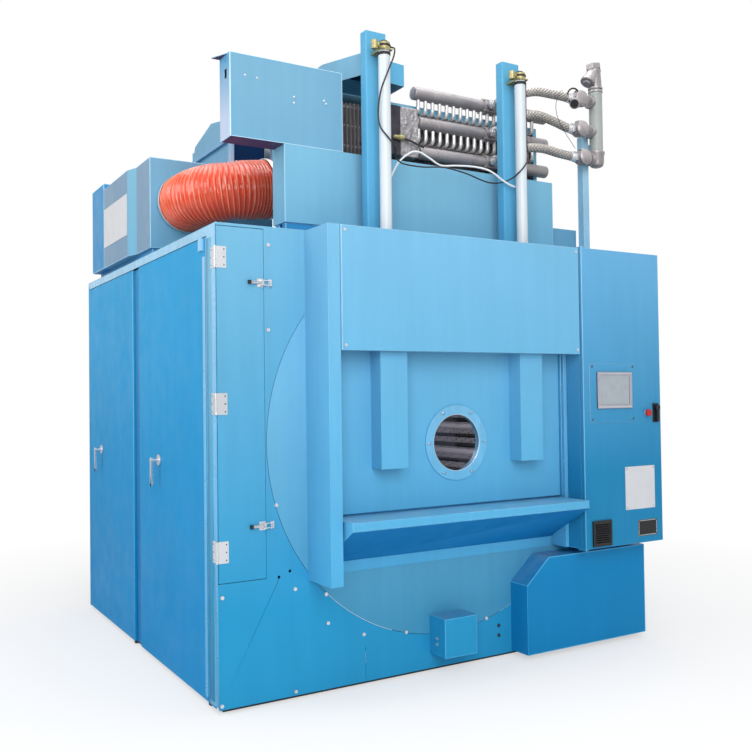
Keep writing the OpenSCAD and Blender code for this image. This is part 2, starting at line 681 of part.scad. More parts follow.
module coil_tube(x, z) {
  cz(x, coil_y, z - coil_drop, z, coil_tube_r);
  cy(x, coil_y, heater_y + 3, z - coil_drop + coil_tube_r, coil_tube_r);
}
module steam_coil() color(dark) at() {
  for (i = [0:2]) {
    cx(coil_x0 + min(i, 1) * 28, coil_x1, coil_y, coil_zs[i], header_pipe_r);
    cx(union_x - 40, union_x + 40, coil_y, coil_zs[i], heater_y - coil_y + 3);
    cy(union_x, 132, coil_y, coil_zs[i], hose_r + 3);
  }
  for (i = [0, 1]) for (k = [0:17]) coil_tube(coil_x0 + 37 + k * coil_pitch, coil_zs[i]);
  // header box between the finned part and the pipes
  box(1050, coil_x0 + 8, 150, heater_y, roof_z + 435, roof_z + 702);
  for (i = [1, 2]) cx(coil_x0, coil_x0 + 30, coil_y, coil_zs[i], header_pipe_r - 8);
}
hose_ends = [2272, 2276, 2296];
hose_routes = [
  [[union_x, 131.6, 3104], [union_x, 121, 3104], [union_x, 110, 3104], [1744, 82, 3107], [1768, 62, 3116], [1800, 56, 3133], [1850, 58, 3157], [1910, 60, 3178], [2005, 60, 3202], [2130, 60, 3206], [2210, 60, 3206], [2240, 60, 3206], [hose_ends[0], 60, 3206]],
  [[union_x, 131.6, 2942], [union_x, 121, 2942], [union_x, 110, 2942], [1743, 84, 2947], [1766, 64, 2965], [1796, 56, 2990], [1842, 58, 3020], [1915, 60, 3048], [2010, 60, 3064], [2130, 60, 3046], [2222, 60, 3026], [2250, 60, 3024], [2263, 60, 3024], [hose_ends[1], 60, 3024]],
  [[union_x, 131.6, 2778], [union_x, 121, 2778], [union_x, 110, 2778], [1743, 83, 2781], [1767, 63, 2796], [1798, 56, 2815], [1845, 58, 2838], [1918, 60, 2860], [2040, 60, 2873], [2160, 60, 2862], [2240, 60, 2857], [2268, 60, 2857], [hose_ends[2], 60, 2857]]];
module steam_hoses() color(bright) at() translate([0, 0, lift]) for (r = hose_routes) tube_along(r, hose_r, 4, 12);
riser_x = 2472;
riser_y = 60;
valve_zs = [roof_z + 906, roof_z + 724, roof_z + 557];
valve_x0 = [hose_ends[0] + 1, hose_ends[1] + 1, hose_ends[2] + 1];
riser_top = valve_zs[0] + 82;
module steam_riser() color(dark) at() {
  cz(riser_x, riser_y, valve_zs[2], riser_top, riser_r);
  cz(riser_x, riser_y, valve_zs[2] - 45, valve_zs[2] + 1, riser_r - 6);
  cz(riser_x, riser_y, valve_zs[0] - 26, valve_zs[0] + 24, riser_r + 10);
  cz(riser_x, riser_y, valve_zs[1] + 36, valve_zs[1] + 76, riser_r + 10);
  for (z = valve_zs) cx(riser_x - riser_r - 12, riser_x, riser_y, z, 27);
}
module steam_valves() color(steel) at() {
  for (i = [0:2]) {
    cx(valve_x0[i], riser_x - riser_r - 12, riser_y, valve_zs[i], 20);
    cx(valve_x0[i] + 14, valve_x0[i] + 96, riser_y, valve_zs[i], 38);
    cy(valve_x0[i] + 58, riser_y - 50, riser_y + 42, valve_zs[i], 46);
    cz(valve_x0[i] + 58, riser_y, valve_zs[i] - 10, valve_zs[i] + 60, 26);
  }
  // test stub of the upper valve
  translate([valve_x0[0] + 58, riser_y, valve_zs[0]]) rotate([118, 0, -24]) cylinder(r = 28, h = 105);
  // strainer on top of the riser, with its side leg and hexagon cap
  cz(riser_x, riser_y, riser_top, riser_top + 16, riser_r + 3);
  translate([riser_x, riser_y, riser_top + 10]) rotate([0, -6, 0]) {
    cylinder(r = 40, h = 112);
    translate([0, 0, 111]) cylinder(r = 47, h = 38, $fn = 6);
    translate([0, 0, 108]) rotate([0, -140, 0]) cylinder(r = 35, h = 102);
  }
}
module roof_stands() color(dark) at() {
  box(400, 2120, 92, 132, body_h, roof_z);
  box(400, 790, 170, 210, body_h, roof_z);
  box(820, 2110, 980, 1030, body_h, roof_z);
  difference() {
    box(air_hole[0] - 30, air_hole[1] + 30, air_hole[2] - 30, air_hole[3] + 30, body_h, roof_z);
    box(air_hole[0], air_hole[1], air_hole[2], air_hole[3], body_h - 1, roof_z + 1);
  }
  for (x = [50, 690]) box(x, x + 60, 1130, 2330, body_h, roof_z);
  // post beside the steam pipes
  box(2408, 2456, 112, 160, body_h, valve_zs[1] - 14);
  box(2408, 2500, 112, 122, valve_zs[1] - 104, valve_zs[1] - 64);
  box(2452, 2492, riser_y + riser_r + 0.3, 113, valve_zs[1] - 104, valve_zs[1] - 64);
  // open frame round the fan housing
  z0 = housing_top + 1;
  z1 = housing_top + 180;
  for (y = [1050, 1690]) for (x = [500, 770]) box(x, x + 20, y, y + 50, z0, z1);
  for (x = [500, 770]) box(x, x + 20, 1050, 1740, z0, z0 + 20);
  box(500, 520, 1050, 1740, z1 - 20, z1);
  for (y = [1050, 1720]) box(500, 790, y, y + 20, z1 - 20, z1);
}
module filter_housing() color(blue) at() {
  difference() {
    prism_z(roof_z, housing_top, [[0, 2040], [0, 1470], [30, 1380], [30, 1110], [790, 1110], [790, 2040]]);
    prism_z(roof_z + sheet, housing_top - sheet, [[sheet, 2037], [sheet, 1470], [33, 1380], [33, 1113], [787, 1113], [787, 2037]]);
    cy(duct_start[0], 1100, 1120, duct_start[2], duct_r - 20);
    box(560, 700, 1300, 1500, housing_top - 10, housing_top + 10);
  }
  difference() {
    box(0, 790, 2041, 2350, roof_z, housing_top + 40);
    box(sheet, 790 - sheet, 2041 + sheet, 2350 - sheet, roof_z + sheet, housing_top + 40 - sheet);
  }
}
volute = [[1106, 4], [1684, 4], [1684, 183], [1780, 183], [1780, 220], [1750, 280], [1450, 355], [1280, 326], [1106, 230]];
volute_in = [[1109, 7], [1681, 7], [1681, 186], [1777, 186], [1777, 219], [1748, 277], [1450, 352], [1281, 323], [1109, 228]];
module fan_volute() color(blue) at() difference() {
  translate([0, 0, housing_top]) prism_x(525, 742, volute);
  translate([0, 0, housing_top]) prism_x(528, 739, volute_in);
  cx(738, 743, fan_y, fan_z, 12 + run_gap);
  box(560, 700, 1300, 1500, housing_top, housing_top + 10);
}
module fan_wheel() color(steel) at() {
  difference() {
    union() {
      cx(552, 556, fan_y, fan_z, fan_r);
      cx(700, 704, fan_y, fan_z, fan_r);
      for (i = [0:fan_blades - 1]) translate([0, fan_y, fan_z]) rotate([i * 360 / fan_blades, 0, 0])
        translate([556, fan_r - 42, -1.5]) cube([144, 40, 3]);
    }
    cx(551, 557, fan_y, fan_z, fan_r - 45);
  }
  cx(610, 790, fan_y, fan_z, 12);
  cx(680, 712, fan_y, fan_z, 30);
}
module duct_solid(r) {
  translate(duct_start) rotate([0, -duct_tilt, 0]) {
    translate([0, 0.5, 0]) rotate([90, 0, 0]) cylinder(r = r, h = duct_straight + 0.5);
    translate([duct_bend, -duct_straight, 0]) rotate([0, 0, 180]) rotate_extrude(angle = 90) translate([duct_bend, 0]) circle(r = r);
    translate([duct_bend, -duct_straight - duct_bend, 0]) rotate([0, 90, 0]) cylinder(r = r, h = 380);
  }
}
module air_duct() color([0.72, 0.3, 0.2]) at() difference() {
  duct_solid(duct_r);
  duct_solid(duct_r - 8);
  box(0, 600, 1109.9, 1200, roof_z, housing_top);
  box(heater_x - 0.1, heater_x + 300, 560, 960, roof_z, heater_top);
}
module duct_clamps() color(bright) at() {
  difference() {
    union() {
      cy(duct_start[0], 1078, 1100, duct_start[2], duct_r + 6);
      box(duct_start[0] - 20, duct_start[0] + 20, 1080, 1098, duct_start[2] + duct_r, duct_start[2] + duct_r + 22);
    }
    cy(duct_start[0], 1070, 1105, duct_start[2], duct_r + 1);
  }
  translate(duct_start) rotate([0, -duct_tilt, 0]) translate([duct_bend + 115, -duct_straight - duct_bend, 0]) rotate([0, 90, 0]) difference() {
    cylinder(r = duct_r + 6, h = 22);
    translate([0, 0, -1]) cylinder(r = duct_r + 1, h = 24);
  }
}
cable_route = [[852.5, -82, 3184], [866, -82, 3183], [877, -80, 3168], [879, -76, 3140], [868, -72, 3080], [846, -72, 2960], [848, -72, 2820], [868, -72, 2716], [925, -72, 2672], [1060, -72, 2655], [1223, -72, 2665], [1412, -72, 2645], [1560, -72, 2605], [1640, -72, 2600], [1700, -72, 2640], [1724, -72, 2750], [1724, -72, 3000], [1742, -74, 3100], [1749, -78, 3150], [1740, -81, 3182], [1722.5, -82, 3186]];
tube_route = [[907, -30, 2500], [930, -30, 2545], [985, -30, 2640], [1060, -30, 2700], [1118, -30, 2712], [1180, -30, 2670], [1235, -30, 2655], [1310, -30, 2690], [1400, -40, 2706], [1500, -60, 2700], [1570, -76, 2684], [1630, -82, 2655], [1686, -87, 2626], [1728, -98, 2602], [1752, -110, 2562], [1760, -112, 2500], [1762, -112, 2400], [1764, -112, 2300], [1764, -112, 2236]];
module air_tubes() color([0.85, 0.85, 0.86]) at() translate([0, 0, lift]) {
  tube_along(cable_route, 4, 4, 8);
  tube_along(tube_route, 5, 4, 8);
}

// ---------- lift doors ----------
door_x0 = drum_x - door_w / 2;
door_x1 = drum_x + door_w / 2;
module front_door_panel() color(blue) at() difference() {
  box(door_x0, door_x1, door_y, door_y + door_t, door_z, door_z + door_h);
  box(door_x0 + 2, door_x1 - 2, door_y + 2, door_y + door_t - 2, door_z + 2, door_z + door_h - 2);
  cy(drum_x, door_y - 1, door_y + door_t + 1, window_z, glass_r + 10);
}
module window_ring() color(steel) at() difference() {
  union() {
    cy(drum_x, door_y - 8, door_y, window_z, window_ring_r);
    difference() {
      cy(drum_x, door_y, door_y + door_t + 4, window_z, glass_r + 9.5);
      cy(drum_x, door_y - 1, door_y + door_t + 5, window_z, glass_r + 6);
    }
    for (a = [0:60:300]) screw(drum_x + (glass_r + 30) * cos(a), window_z + (glass_r + 30) * sin(a), 7, 5, door_y - 8);
  }
  cy(drum_x, door_y - 9, door_y + 1, window_z, glass_r);
}
module window_glass() color([0.3, 0.35, 0.4, 0.4]) at() cy(drum_x, door_y, door_y + 8, window_z, glass_r + 5.8);
module channels() {
  for (x = post_xs) difference() {
    box(x - channel_w / 2, x + channel_w / 2, door_y - channel_d, door_y, channel_z, door_z + door_h);
    box(x - channel_w / 2 + sheet, x + channel_w / 2 - sheet, door_y - channel_d + sheet, door_y + 1, channel_z - 1, door_z + door_h + 1);
  }
}
module front_door_channels() color(blue) at() channels();
module rods() {
  for (x = post_xs) {
    cz(x, barrel_y, 1150, barrel_z + 26, rod_r);
    cz(x, barrel_y, barrel_z + 25, barrel_z + 55, bore_r - run_gap);
    box(x - 30, x + 30, barrel_y - 30, door_y, 1120, 1160);
  }
}
module front_piston_rods() color(bright) at() rods();
module rear_door_panel() color(blue) at() rear() {
  shell(door_x0, door_x1, door_y, door_y + door_t, door_z, door_z + door_h, 2);
  channels();
}
module rear_piston_rods() color(bright) at() rear() rods();

// ---------- drum, rollers, drive ----------
module drum() color(steel) at() {
  difference() {
    union() {
      cy(drum_x, drum_y, drum_y + drum_len, drum_z, drum_r);
      for (y = [wheel_y1, wheel_y2]) cy(drum_x, y - ring_w / 2, y + ring_w / 2, drum_z, ride_r);
    }
    cy(drum_x, drum_y + drum_wall, drum_y + drum_len - drum_wall, drum_z, drum_r - drum_wall);
    cy(drum_x, drum_y - 1, drum_y + drum_len + 1, drum_z, mouth_r);
  }
  for (i = [0:lifters - 1]) translate([drum_x, 0, drum_z]) rotate([0, 45 + i * 360 / lifters, 0])
    difference() {
      lifter(drum_y + 20, drum_y + drum_len - 20, 0);
      lifter(drum_y + 24, drum_y + drum_len - 24, drum_wall);
    }
}
module lifter(y0, y1, w) {
  base = drum_r - drum_wall + 1;
  prism_y(y0, y1, [[base, -70 + w], [base - 1 - lifter_h + w, -14 + w / 2], [base - 1 - lifter_h + w, 14 - w / 2], [base, 70 - w]]);
}
module wheels(x) {
  for (y = [wheel_y1, wheel_y2]) {
    cy(x, y - wheel_w / 2, y + wheel_w / 2, roller_z, wheel_r);
    cy(x, y - 45, y + 45, roller_z, 38);
  }
}
module roller_left() color(dark) at() {
  x = drum_x - roller_dx;
  wheels(x);
  cy(x, wheel_y1 - 60, wheel_y2 + 60, roller_z, shaft_r);
}
module roller_right() color(dark) at() {
  wheels(drive_x);
  cy(drive_x, pulley_y - 12, wheel_y2 + 60, roller_z, shaft_r);
  difference() {
    cy(drive_x, pulley_y, pulley_y + pulley_w, roller_z, pulley_r);
    for (y = [pulley_y - 1, pulley_y + pulley_w - 12]) difference() {
      cy(drive_x, y, y + 13, roller_z, pulley_r - 16);
      cy(drive_x, y - 1, y + 14, roller_z, 40);
    }
  }
}
module motor_pulley() color(dark) at() {
  cy(motor_x, pulley_y, pulley_y + pulley_w, motor_z, motor_pulley_r);
  cy(motor_x, pulley_y - 8, 190, motor_z, 14);
}

// ---------- side doors and access door ----------
module side_door(y0, len, back) difference() {
  union() {
    tray_x(0, side_door_t, y0, y0 + len, side_bottom, side_top, 2);
    for (z = [side_bottom, side_top - 22]) box(0, 24, y0, y0 + 24, z, z + 22);
  }
  for (z = [side_bottom - 1, side_top - 23]) cz(side_axis, y0 + side_axis, z, z + 24, 6 + run_gap);
  cx(-1, 3, y0 + len - back, handle_z, 10 + run_gap);
}
module left_door_front() color(blue) at() {
  side_door(door1_y, side_door_1, handle_back_1);
  box(-12, 0, door1_y + 35, door1_y + 77, side_top - 60, side_top - 2);
}
module left_door_rear() color(blue) at() side_door(door2_y, door2_len, handle_back_2);
module lever(y) {
  cx(-8, -0.3, y, handle_z, 30);
  cx(-handle_out + 8, 16, y, handle_z, 10);
  cx(-handle_out, -handle_out + 14, y, handle_z, 15);
  box(-handle_out, -handle_out + 12, y - 11, y + 11, handle_z - lever_len + 11, handle_z);
  cx(-handle_out, -handle_out + 12, y, handle_z - lever_len + 11, 11);
  box(10, 14, y - 10, y + 10, handle_z - 10, handle_z + 60);
}
module handle_front() color(dark) at() lever(door1_y + side_door_1 - handle_back_1);
module handle_rear() color(dark) at() lever(door2_y + door2_len - handle_back_2);
module access_door() color(blue) at() {
  tray_y(4.5, access_w, 0, side_door_t, 593, body_h - 16, 2);
  for (z = hinge_zs) {
    box(1, 52, -2, 0, z - 50, z + 50);
    difference() {
      union() {
        box(hinge_axis, 2, -2, 0, z - 17, z + 17);
        cz(hinge_axis, hinge_axis, z - 17, z + 17, 5);
      }
      cz(hinge_axis, hinge_axis, z - 18, z + 18, 3 + run_gap);
    }
    for (s = [-36, 0, 36]) screw(40, z + s, 4, 2, -2);
    for (s = [-36, 36]) screw(14, z + s, 4, 2, -2);
  }
  for (z = latch_zs) {
    box(204, 236, -3, 0, z - 20, z + 20);
    for (s = [-1, 1]) {
      difference() {
        box(219, 237, -22, 0, z + s * 10 - 3, z + s * 10 + 3);
        cz(228, -14, z - 20, z + 20, 3 + run_gap);
      }
      cx(236, 274, -10, z + s * 11, 2.5);
    }
    cz(272, -10, z - 13, z + 13, 2.5);
  }
}
module latch(z) {
  difference() {
    box(166, 234, -20, -8, z - 6, z + 6);
    box(150, 226, -21, -11, z - 3, z + 3);
  }
  box(155, 168, -23, -8, z - 9, z + 9);
  cz(228, -14, z - 13, z + 13, 3);
}
module latch_upper() color(dark) at() latch(latch_zs[0]);
module latch_lower() color(dark) at() latch(latch_zs[1]);

base_frame();
front_panel();
front_ring();
rear_panel();
drum_casing();
side_strips();
body_skins();
column_covers();
header_panel();
sill_shelf();
rear_covers();
lift_posts();
cylinder_barrels();
cylinder_fittings();
front_hardware();
drive_cover();
motors();
drive_belt();
bearing_blocks();
cabinet_shell();
cabinet_internals();
plenum_box();
duct_boxes();
heater_box();
coil_hood();
heater_fins();
steam_coil();
steam_hoses();
steam_riser();
steam_valves();
roof_stands();
filter_housing();
fan_volute();
air_duct();
duct_clamps();
air_tubes();
front_door_panel();
front_door_channels();
window_ring();
window_glass();
front_piston_rods();
rear_door_panel();
rear_piston_rods();
drum();
roller_left();
roller_right();
motor_pulley();
left_door_front();
left_door_rear();
handle_front();
handle_rear();
access_door();
latch_upper();
latch_lower();
cabinet_door();
cabinet_plates();
door_fittings();
cabinet_lock();
red_button();
fan_wheel();
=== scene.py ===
# %% [markdown]
# # Dressing a pass-through drying tumbler
# The machine is a steel cabinet with a big drum inside, a lifting door, a control cabinet and a roof
# full of pipework. The CAD model already fixes every size. Blender's work is the surface: bent sheet
# edges, paint, ribs, braid, fasteners, glass. This first step loads the CAD frame and keeps its box.

import json
import math

import bmesh
import bpy
import numpy as np
from mathutils import Matrix, Vector, noise


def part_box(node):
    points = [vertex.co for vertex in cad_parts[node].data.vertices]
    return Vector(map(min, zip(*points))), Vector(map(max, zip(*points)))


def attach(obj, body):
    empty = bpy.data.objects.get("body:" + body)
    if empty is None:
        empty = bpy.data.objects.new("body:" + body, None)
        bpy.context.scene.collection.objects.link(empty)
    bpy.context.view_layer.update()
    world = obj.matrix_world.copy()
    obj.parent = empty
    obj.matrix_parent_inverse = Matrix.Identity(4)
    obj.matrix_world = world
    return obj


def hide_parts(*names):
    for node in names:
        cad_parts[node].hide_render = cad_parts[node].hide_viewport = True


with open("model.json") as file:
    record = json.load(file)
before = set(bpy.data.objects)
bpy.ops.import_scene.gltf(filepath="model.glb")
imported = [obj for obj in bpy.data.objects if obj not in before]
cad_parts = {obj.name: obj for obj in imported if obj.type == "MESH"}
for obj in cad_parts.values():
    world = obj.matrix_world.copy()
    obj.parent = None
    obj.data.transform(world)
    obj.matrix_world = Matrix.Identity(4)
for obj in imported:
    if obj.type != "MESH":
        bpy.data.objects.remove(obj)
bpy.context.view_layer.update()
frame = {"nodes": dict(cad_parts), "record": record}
nodes = frame["nodes"]
body_of = {n: b for b, ns in frame["record"]["behaviour"]["bodies"].items() for n in ns}
X, Y, Z = Vector((1, 0, 0)), Vector((0, 1, 0)), Vector((0, 0, 1))
zero_x, zero_y = 1295, 1237.5


def at(x, y, z):
    """A point of the drawing, in mm from the left side, front panel and floor, as metres of the frame."""
    return Vector(((x - zero_x) / 1000, (y - zero_y) / 1000, z / 1000))


def new_object(name, data):
    """A new object, linked to the scene."""
    obj = bpy.data.objects.new(name, data)
    bpy.context.scene.collection.objects.link(obj)
    return obj


# %% [markdown]
# ## Camera
# The view of the photograph was recovered by fitting a pinhole camera to corners of the machine:
# a 42 mm lens on a 36 mm sensor, at eye level, turned 31 degrees. A camera looks along its own -Z,
# so its matrix columns are right, up and backwards.

# %% Camera
focal_px, image_px, sensor_mm = 885.08, 752, 36
yaw, pitch, roll = (math.radians(a) for a in (30.875, 1.251, -0.7326))
forward = Vector((math.sin(yaw) * math.cos(pitch), math.cos(yaw) * math.cos(pitch), math.sin(pitch)))
right0 = Vector((math.cos(yaw), -math.sin(yaw), 0))
up0 = right0.cross(forward)
right = math.cos(roll) * right0 + math.sin(roll) * up0
up = -math.sin(roll) * right0 + math.cos(roll) * up0
cam_data = bpy.data.cameras.new("camera")
cam_data.sensor_width = sensor_mm
cam_data.lens = focal_px / image_px * sensor_mm
camera = new_object("camera", cam_data)
turn = Matrix((right, up, -forward)).transposed().to_4x4()
camera.matrix_world = Matrix.Translation((-2.7445, -5.0845, 1.4436)) @ turn
bpy.context.scene.camera = camera
print("lens mm", round(cam_data.lens, 2))

# %% [markdown]
# ## Node helpers
# Every finish is a small node tree. One helper adds a node, one fills its sockets by name, and the
# others are the nodes that come again and again: noise, a range, a colour mix, a sum. Colours are
# written as a screen shows them, and turned into the linear ones that shaders expect.


# %% Node helpers
def linear(r, g, b):
    """Screen colour, 0 to 255, as a linear RGBA."""
    f = lambda c: c / 12.92 if c <= 0.04045 else ((c + 0.055) / 1.055) ** 2.4
    return (f(r / 255), f(g / 255), f(b / 255), 1)


def tint(colour, k):
    return tuple(min(1, c * k) for c in colour[:3]) + (1,)


def plug(tree, n, **sockets):
    """Fills sockets by name or index, with a value, a socket to link from or a node's first output."""
    for k, v in sockets.items():
        s = n.inputs[int(k[1:])] if k[0] == "i" and k[1:].isdigit() else n.inputs[k.replace("_", " ")]
        if isinstance(v, bpy.types.Node):
            v = v.outputs[0]
        if isinstance(v, bpy.types.NodeSocket):
            tree.links.new(v, s)
        else:
            s.default_value = v
    return n


def add(tree, kind, props=None, **sockets):
    """Adds a node with its properties and sockets."""
    n = tree.nodes.new(kind)
    for k, v in (props or {}).items():
        setattr(n, k, v)
    return plug(tree, n, **sockets)


def maths(tree, op, a, b=0.0):
    return add(tree, "ShaderNodeMath", {"operation": op}, i0=a, i1=b)


def times(tree, a, b):
    return maths(tree, "MULTIPLY", a, b)


def vector(tree, **xyz):
    return add(tree, "ShaderNodeCombineXYZ", **xyz)


def scaled(tree, arrow, by):
    return add(tree, "ShaderNodeVectorMath", {"operation": "SCALE"}, i0=arrow, Scale=by)


def clouds(tree, where, scale, detail, **more):
    """Noise from 0 to 1."""
    return add(tree, "ShaderNodeTexNoise", Vector=where, Scale=scale, Detail=detail, **more).outputs["Fac"]


def ramp(tree, value, low, high, **to):
    """Turns the range low to high into 0 to 1, or into To_Min to To_Max."""
    return add(tree, "ShaderNodeMapRange", Value=value, From_Min=low, From_Max=high, **to)


def mix(tree, factor, one, other):
    """A mix of two colours."""
    return add(tree, "ShaderNodeMix", {"data_type": "RGBA"}, Factor=factor, i6=one, i7=other).outputs[2]


def upward(tree):
    """How far a face looks up, from -1 to 1."""
    normal = add(tree, "ShaderNodeNewGeometry").outputs["Normal"]
    return add(tree, "ShaderNodeSeparateXYZ", Vector=normal).outputs[2]


def new_material(name):
    """A new material, its node tree and its shader."""
    m = bpy.data.materials.new(name)
    m.use_nodes = True
    return m, m.node_tree, m.node_tree.nodes["Principled BSDF"]


# %% [markdown]
# ## Finishes
# Paint, metal and rubber are never one flat colour. They have slow tone changes, a fine grain, specks,
# painted shade on faces that look down and dust on faces that look up. All patterns use Object coordinates, so
# they stay fixed to the metal when a door moves.


# %% Painted and plain finishes
finishes = {}


def settled_dust(t, colour, where, grain, low, most, rgb):
    """Dust in patches, on faces that look up."""
    lies = times(t, upward(t), clouds(t, where, grain, grain))
    return mix(t, ramp(t, lies, low, 0.7, To_Max=most), colour, linear(*rgb))


def finish(name, rgb, rough, metal=0.0, vary=0.06, tone=1.6, grain=260, bump=0.08, dust=0.0, coat=0.0,
           stretch=(1, 1, 1), spots=0.0, speck=None, rough_vary=0.08, shade_below=0.0):
    """Keeps a finish of slow tones and fine grain, with specks, painted shade below and dust above if asked."""
    finishes[name], t, p = new_material(name)
    colour = linear(*rgb)
    where = add(t, "ShaderNodeTexCoord").outputs["Object"]
    drawn = add(t, "ShaderNodeMapping", Vector=where, Scale=stretch)
    out = mix(t, ramp(t, clouds(t, where, tone, 4), 0.3, 0.7), tint(colour, 1 - vary), tint(colour, 1 + vary))
    if spots:
        out = mix(t, ramp(t, clouds(t, drawn, 34, 6), 0.62, 0.75, To_Max=spots), out, linear(*speck))
    # Faces that look down are darkened as painted shade.
    if shade_below:
        out = mix(t, ramp(t, upward(t), 0.3, -0.7, To_Max=shade_below), out, tint(colour, 0.25))
    if dust:
        out = settled_dust(t, out, where, 5, 0.2, dust, (176, 178, 176))
    worn = ramp(t, clouds(t, drawn, 11, 6), 0.3, 0.7, To_Min=max(0.02, rough - rough_vary), To_Max=rough + rough_vary)
    relief = add(t, "ShaderNodeBump", Strength=bump, Distance=0.001, Height=clouds(t, drawn, grain, 3))
    plug(t, p, Base_Color=out, Roughness=worn, Normal=relief, Metallic=metal, Coat_Weight=coat)


finish("dark_steel", (48, 50, 54), 0.5, metal=0.4, vary=0.15, spots=0.5, speck=(92, 84, 76))
finish("steel", (136, 137, 140), 0.36, metal=0.8, vary=0.1, stretch=(1, 14, 1), grain=180)
finish("drum_steel", (126, 120, 128), 0.5, metal=0.2, vary=0.2, tone=3, spots=0.4, speck=(86, 80, 88))
finish("drum_strip", (158, 154, 162), 0.45, metal=0.1, vary=0.1, tone=5)
finish("wheel_rubber", (34, 34, 35), 0.8, vary=0.2, grain=90, bump=0.3, spots=0.4, speck=(88, 86, 84))
finish("bright_metal", (206, 208, 212), 0.3, metal=0.75, vary=0.04, stretch=(1, 1, 5), grain=420, bump=0.03,
       rough_vary=0.05)
finish("white_enamel", (200, 209, 215), 0.34, vary=0.02, grain=500, bump=0.03, rough_vary=0.04)
finish("braided_steel", (188, 183, 178), 0.34, metal=0.6, vary=0.18, tone=40, stretch=(3, 3, 3), spots=0.7,
       speck=(74, 70, 70), shade_below=0.7)
finish("brass", (178, 168, 118), 0.4, metal=0.5, vary=0.2, tone=44, stretch=(2, 2, 2), spots=0.9, speck=(66, 60, 36),
       shade_below=0.6)
finish("motor_paint", (84, 92, 98), 0.5, vary=0.08, grain=300, bump=0.2, dust=0.5)
finish("belt_rubber", (26, 26, 27), 0.7, vary=0.2, grain=140, bump=0.3)
finish("tube_plastic", (222, 224, 226), 0.35, vary=0.03)
finish("black_plastic", (7, 8, 12), 0.5, vary=0.12, grain=900, bump=0.2)
finish("red_plastic", (176, 26, 30), 0.3, vary=0.06, grain=500)
finish("silver_paint", (174, 168, 170), 0.34, metal=0.35, vary=0.14, tone=9, grain=120, spots=0.6,
       speck=(108, 100, 100), bump=0.3, shade_below=0.75)
# A pale tube colour that stands in for the highlights along the hairpins, as painted highlight.
finish("highlit_tube", (214, 212, 212), 0.3, metal=0.35, vary=0.05, tone=20, shade_below=0.5)
finish("grey_pipe", (156, 162, 159), 0.5, vary=0.07, tone=6, spots=0.25, speck=(108, 106, 98))
finish("foil", (164, 160, 163), 0.36, metal=0.45, vary=0.3, tone=26, grain=90, bump=0.8, spots=0.9, speck=(66, 62, 66),
       shade_below=0.5)
# Dark finish for stripes along the pleats, as painted shade.
finish("pleat_shade", (62, 60, 68), 0.4, metal=0.4, vary=0.3, tone=26)
finish("white_plate", (200, 202, 207), 0.4, vary=0.03, tone=14, spots=0.3, speck=(184, 184, 192))
finish("black_cable", (30, 30, 32), 0.5, vary=0.1)
print("finishes", len(finishes))

# %% [markdown]
# ## Blue machine paint
# The sheets are sprayed in one blue, but it never looks like one colour. Low down it is deep as painted
# shade, and higher up it is paler as painted light from the open sky above. So the colour is a mix by
# height, read from Object coordinates, with slow clouds, faint runs, lint on faces that look up, and a little
# waviness that bends reflections. The other blues are copies of the one paint, lit and shaded part by
# part, and paler finishes are kept for the bent edges as painted highlights.


# %% Blue paint
def paint_shaded_by_height(name, low, high, rough=0.4, gloss=0.1, vary=0.035, lint=0.3, z0=0.45, z1=2.95):
    """Keeps a paint with painted light by height, from a low to a high tone between the heights z0 and z1."""
    finishes[name], t, p = new_material(name)
    where = add(t, "ShaderNodeTexCoord").outputs["Object"]
    height = add(t, "ShaderNodeSeparateXYZ", Vector=where).outputs[2]
    # Painted light by height: the low tone is painted shade, the high tone painted light.
    body = mix(t, ramp(t, height, z0, z1), linear(*low), linear(*high))
    drips = add(t, "ShaderNodeMapping", Vector=where, Scale=(9, 9, 0.6))
    both = maths(t, "ADD", clouds(t, where, 1.5, 4), clouds(t, drips, 2, 5))
    shaded = scaled(t, body, ramp(t, both, 0.75, 1.25, To_Min=1 - vary, To_Max=1 + vary))
    out = settled_dust(t, shaded, where, 6, 0.25, lint, (178, 184, 184))
    worn = ramp(t, clouds(t, where, 9, 6), 0.3, 0.7, To_Min=rough - 0.07, To_Max=rough + 0.07)
    peel = add(t, "ShaderNodeBump", Strength=0.06, Distance=0.001, Height=clouds(t, where, 330, 2))
    swell = add(t, "ShaderNodeBump", Strength=0.14, Distance=0.02, Height=clouds(t, where, 2.2, 1), Normal=peel)
    plug(t, p, Base_Color=out, Roughness=worn, Normal=swell, Specular_IOR_Level=gloss)


# Each paint below runs from a low tone as painted shade to a high tone as painted light, tuned part by part.
paint_shaded_by_height("blue_paint", (38, 142, 188), (126, 180, 206))
paint_shaded_by_height("side_blue_paint", (14, 132, 190), (48, 156, 208), z1=2.4, gloss=0.04)
paint_shaded_by_height("door_blue_paint", (74, 162, 206), (118, 178, 212), z1=2.4)
paint_shaded_by_height("ring_blue_paint", (66, 142, 178), (108, 172, 206), z0=0.3, z1=1.5)
paint_shaded_by_height("cabinet_blue_paint", (34, 126, 172), (104, 170, 212), z0=1.0, z1=2.3)
paint_shaded_by_height("cover_blue_paint", (18, 124, 178), (40, 142, 190), z1=0.9)
# A darker copy of the blue for undersides, recesses and rear parts, as painted shade.
paint_shaded_by_height("deep_blue_paint", (2, 106, 168), (60, 142, 192))
paint_shaded_by_height("post_blue_paint", (44, 140, 192), (96, 170, 208))
paint_shaded_by_height("upper_blue_paint", (60, 140, 184), (116, 166, 194), lint=0.4)
paint_shaded_by_height("grey_blue_paint", (96, 132, 160), (124, 152, 176), lint=0.4)
# A pale copy for lit faces high on the roof, as painted light; pale low down and darker higher up.
paint_shaded_by_height("pale_blue_paint", (184, 198, 222), (92, 156, 196), z0=2.78, z1=3.06)
paint_shaded_by_height("shade_blue_paint", (8, 40, 78), (10, 44, 84))
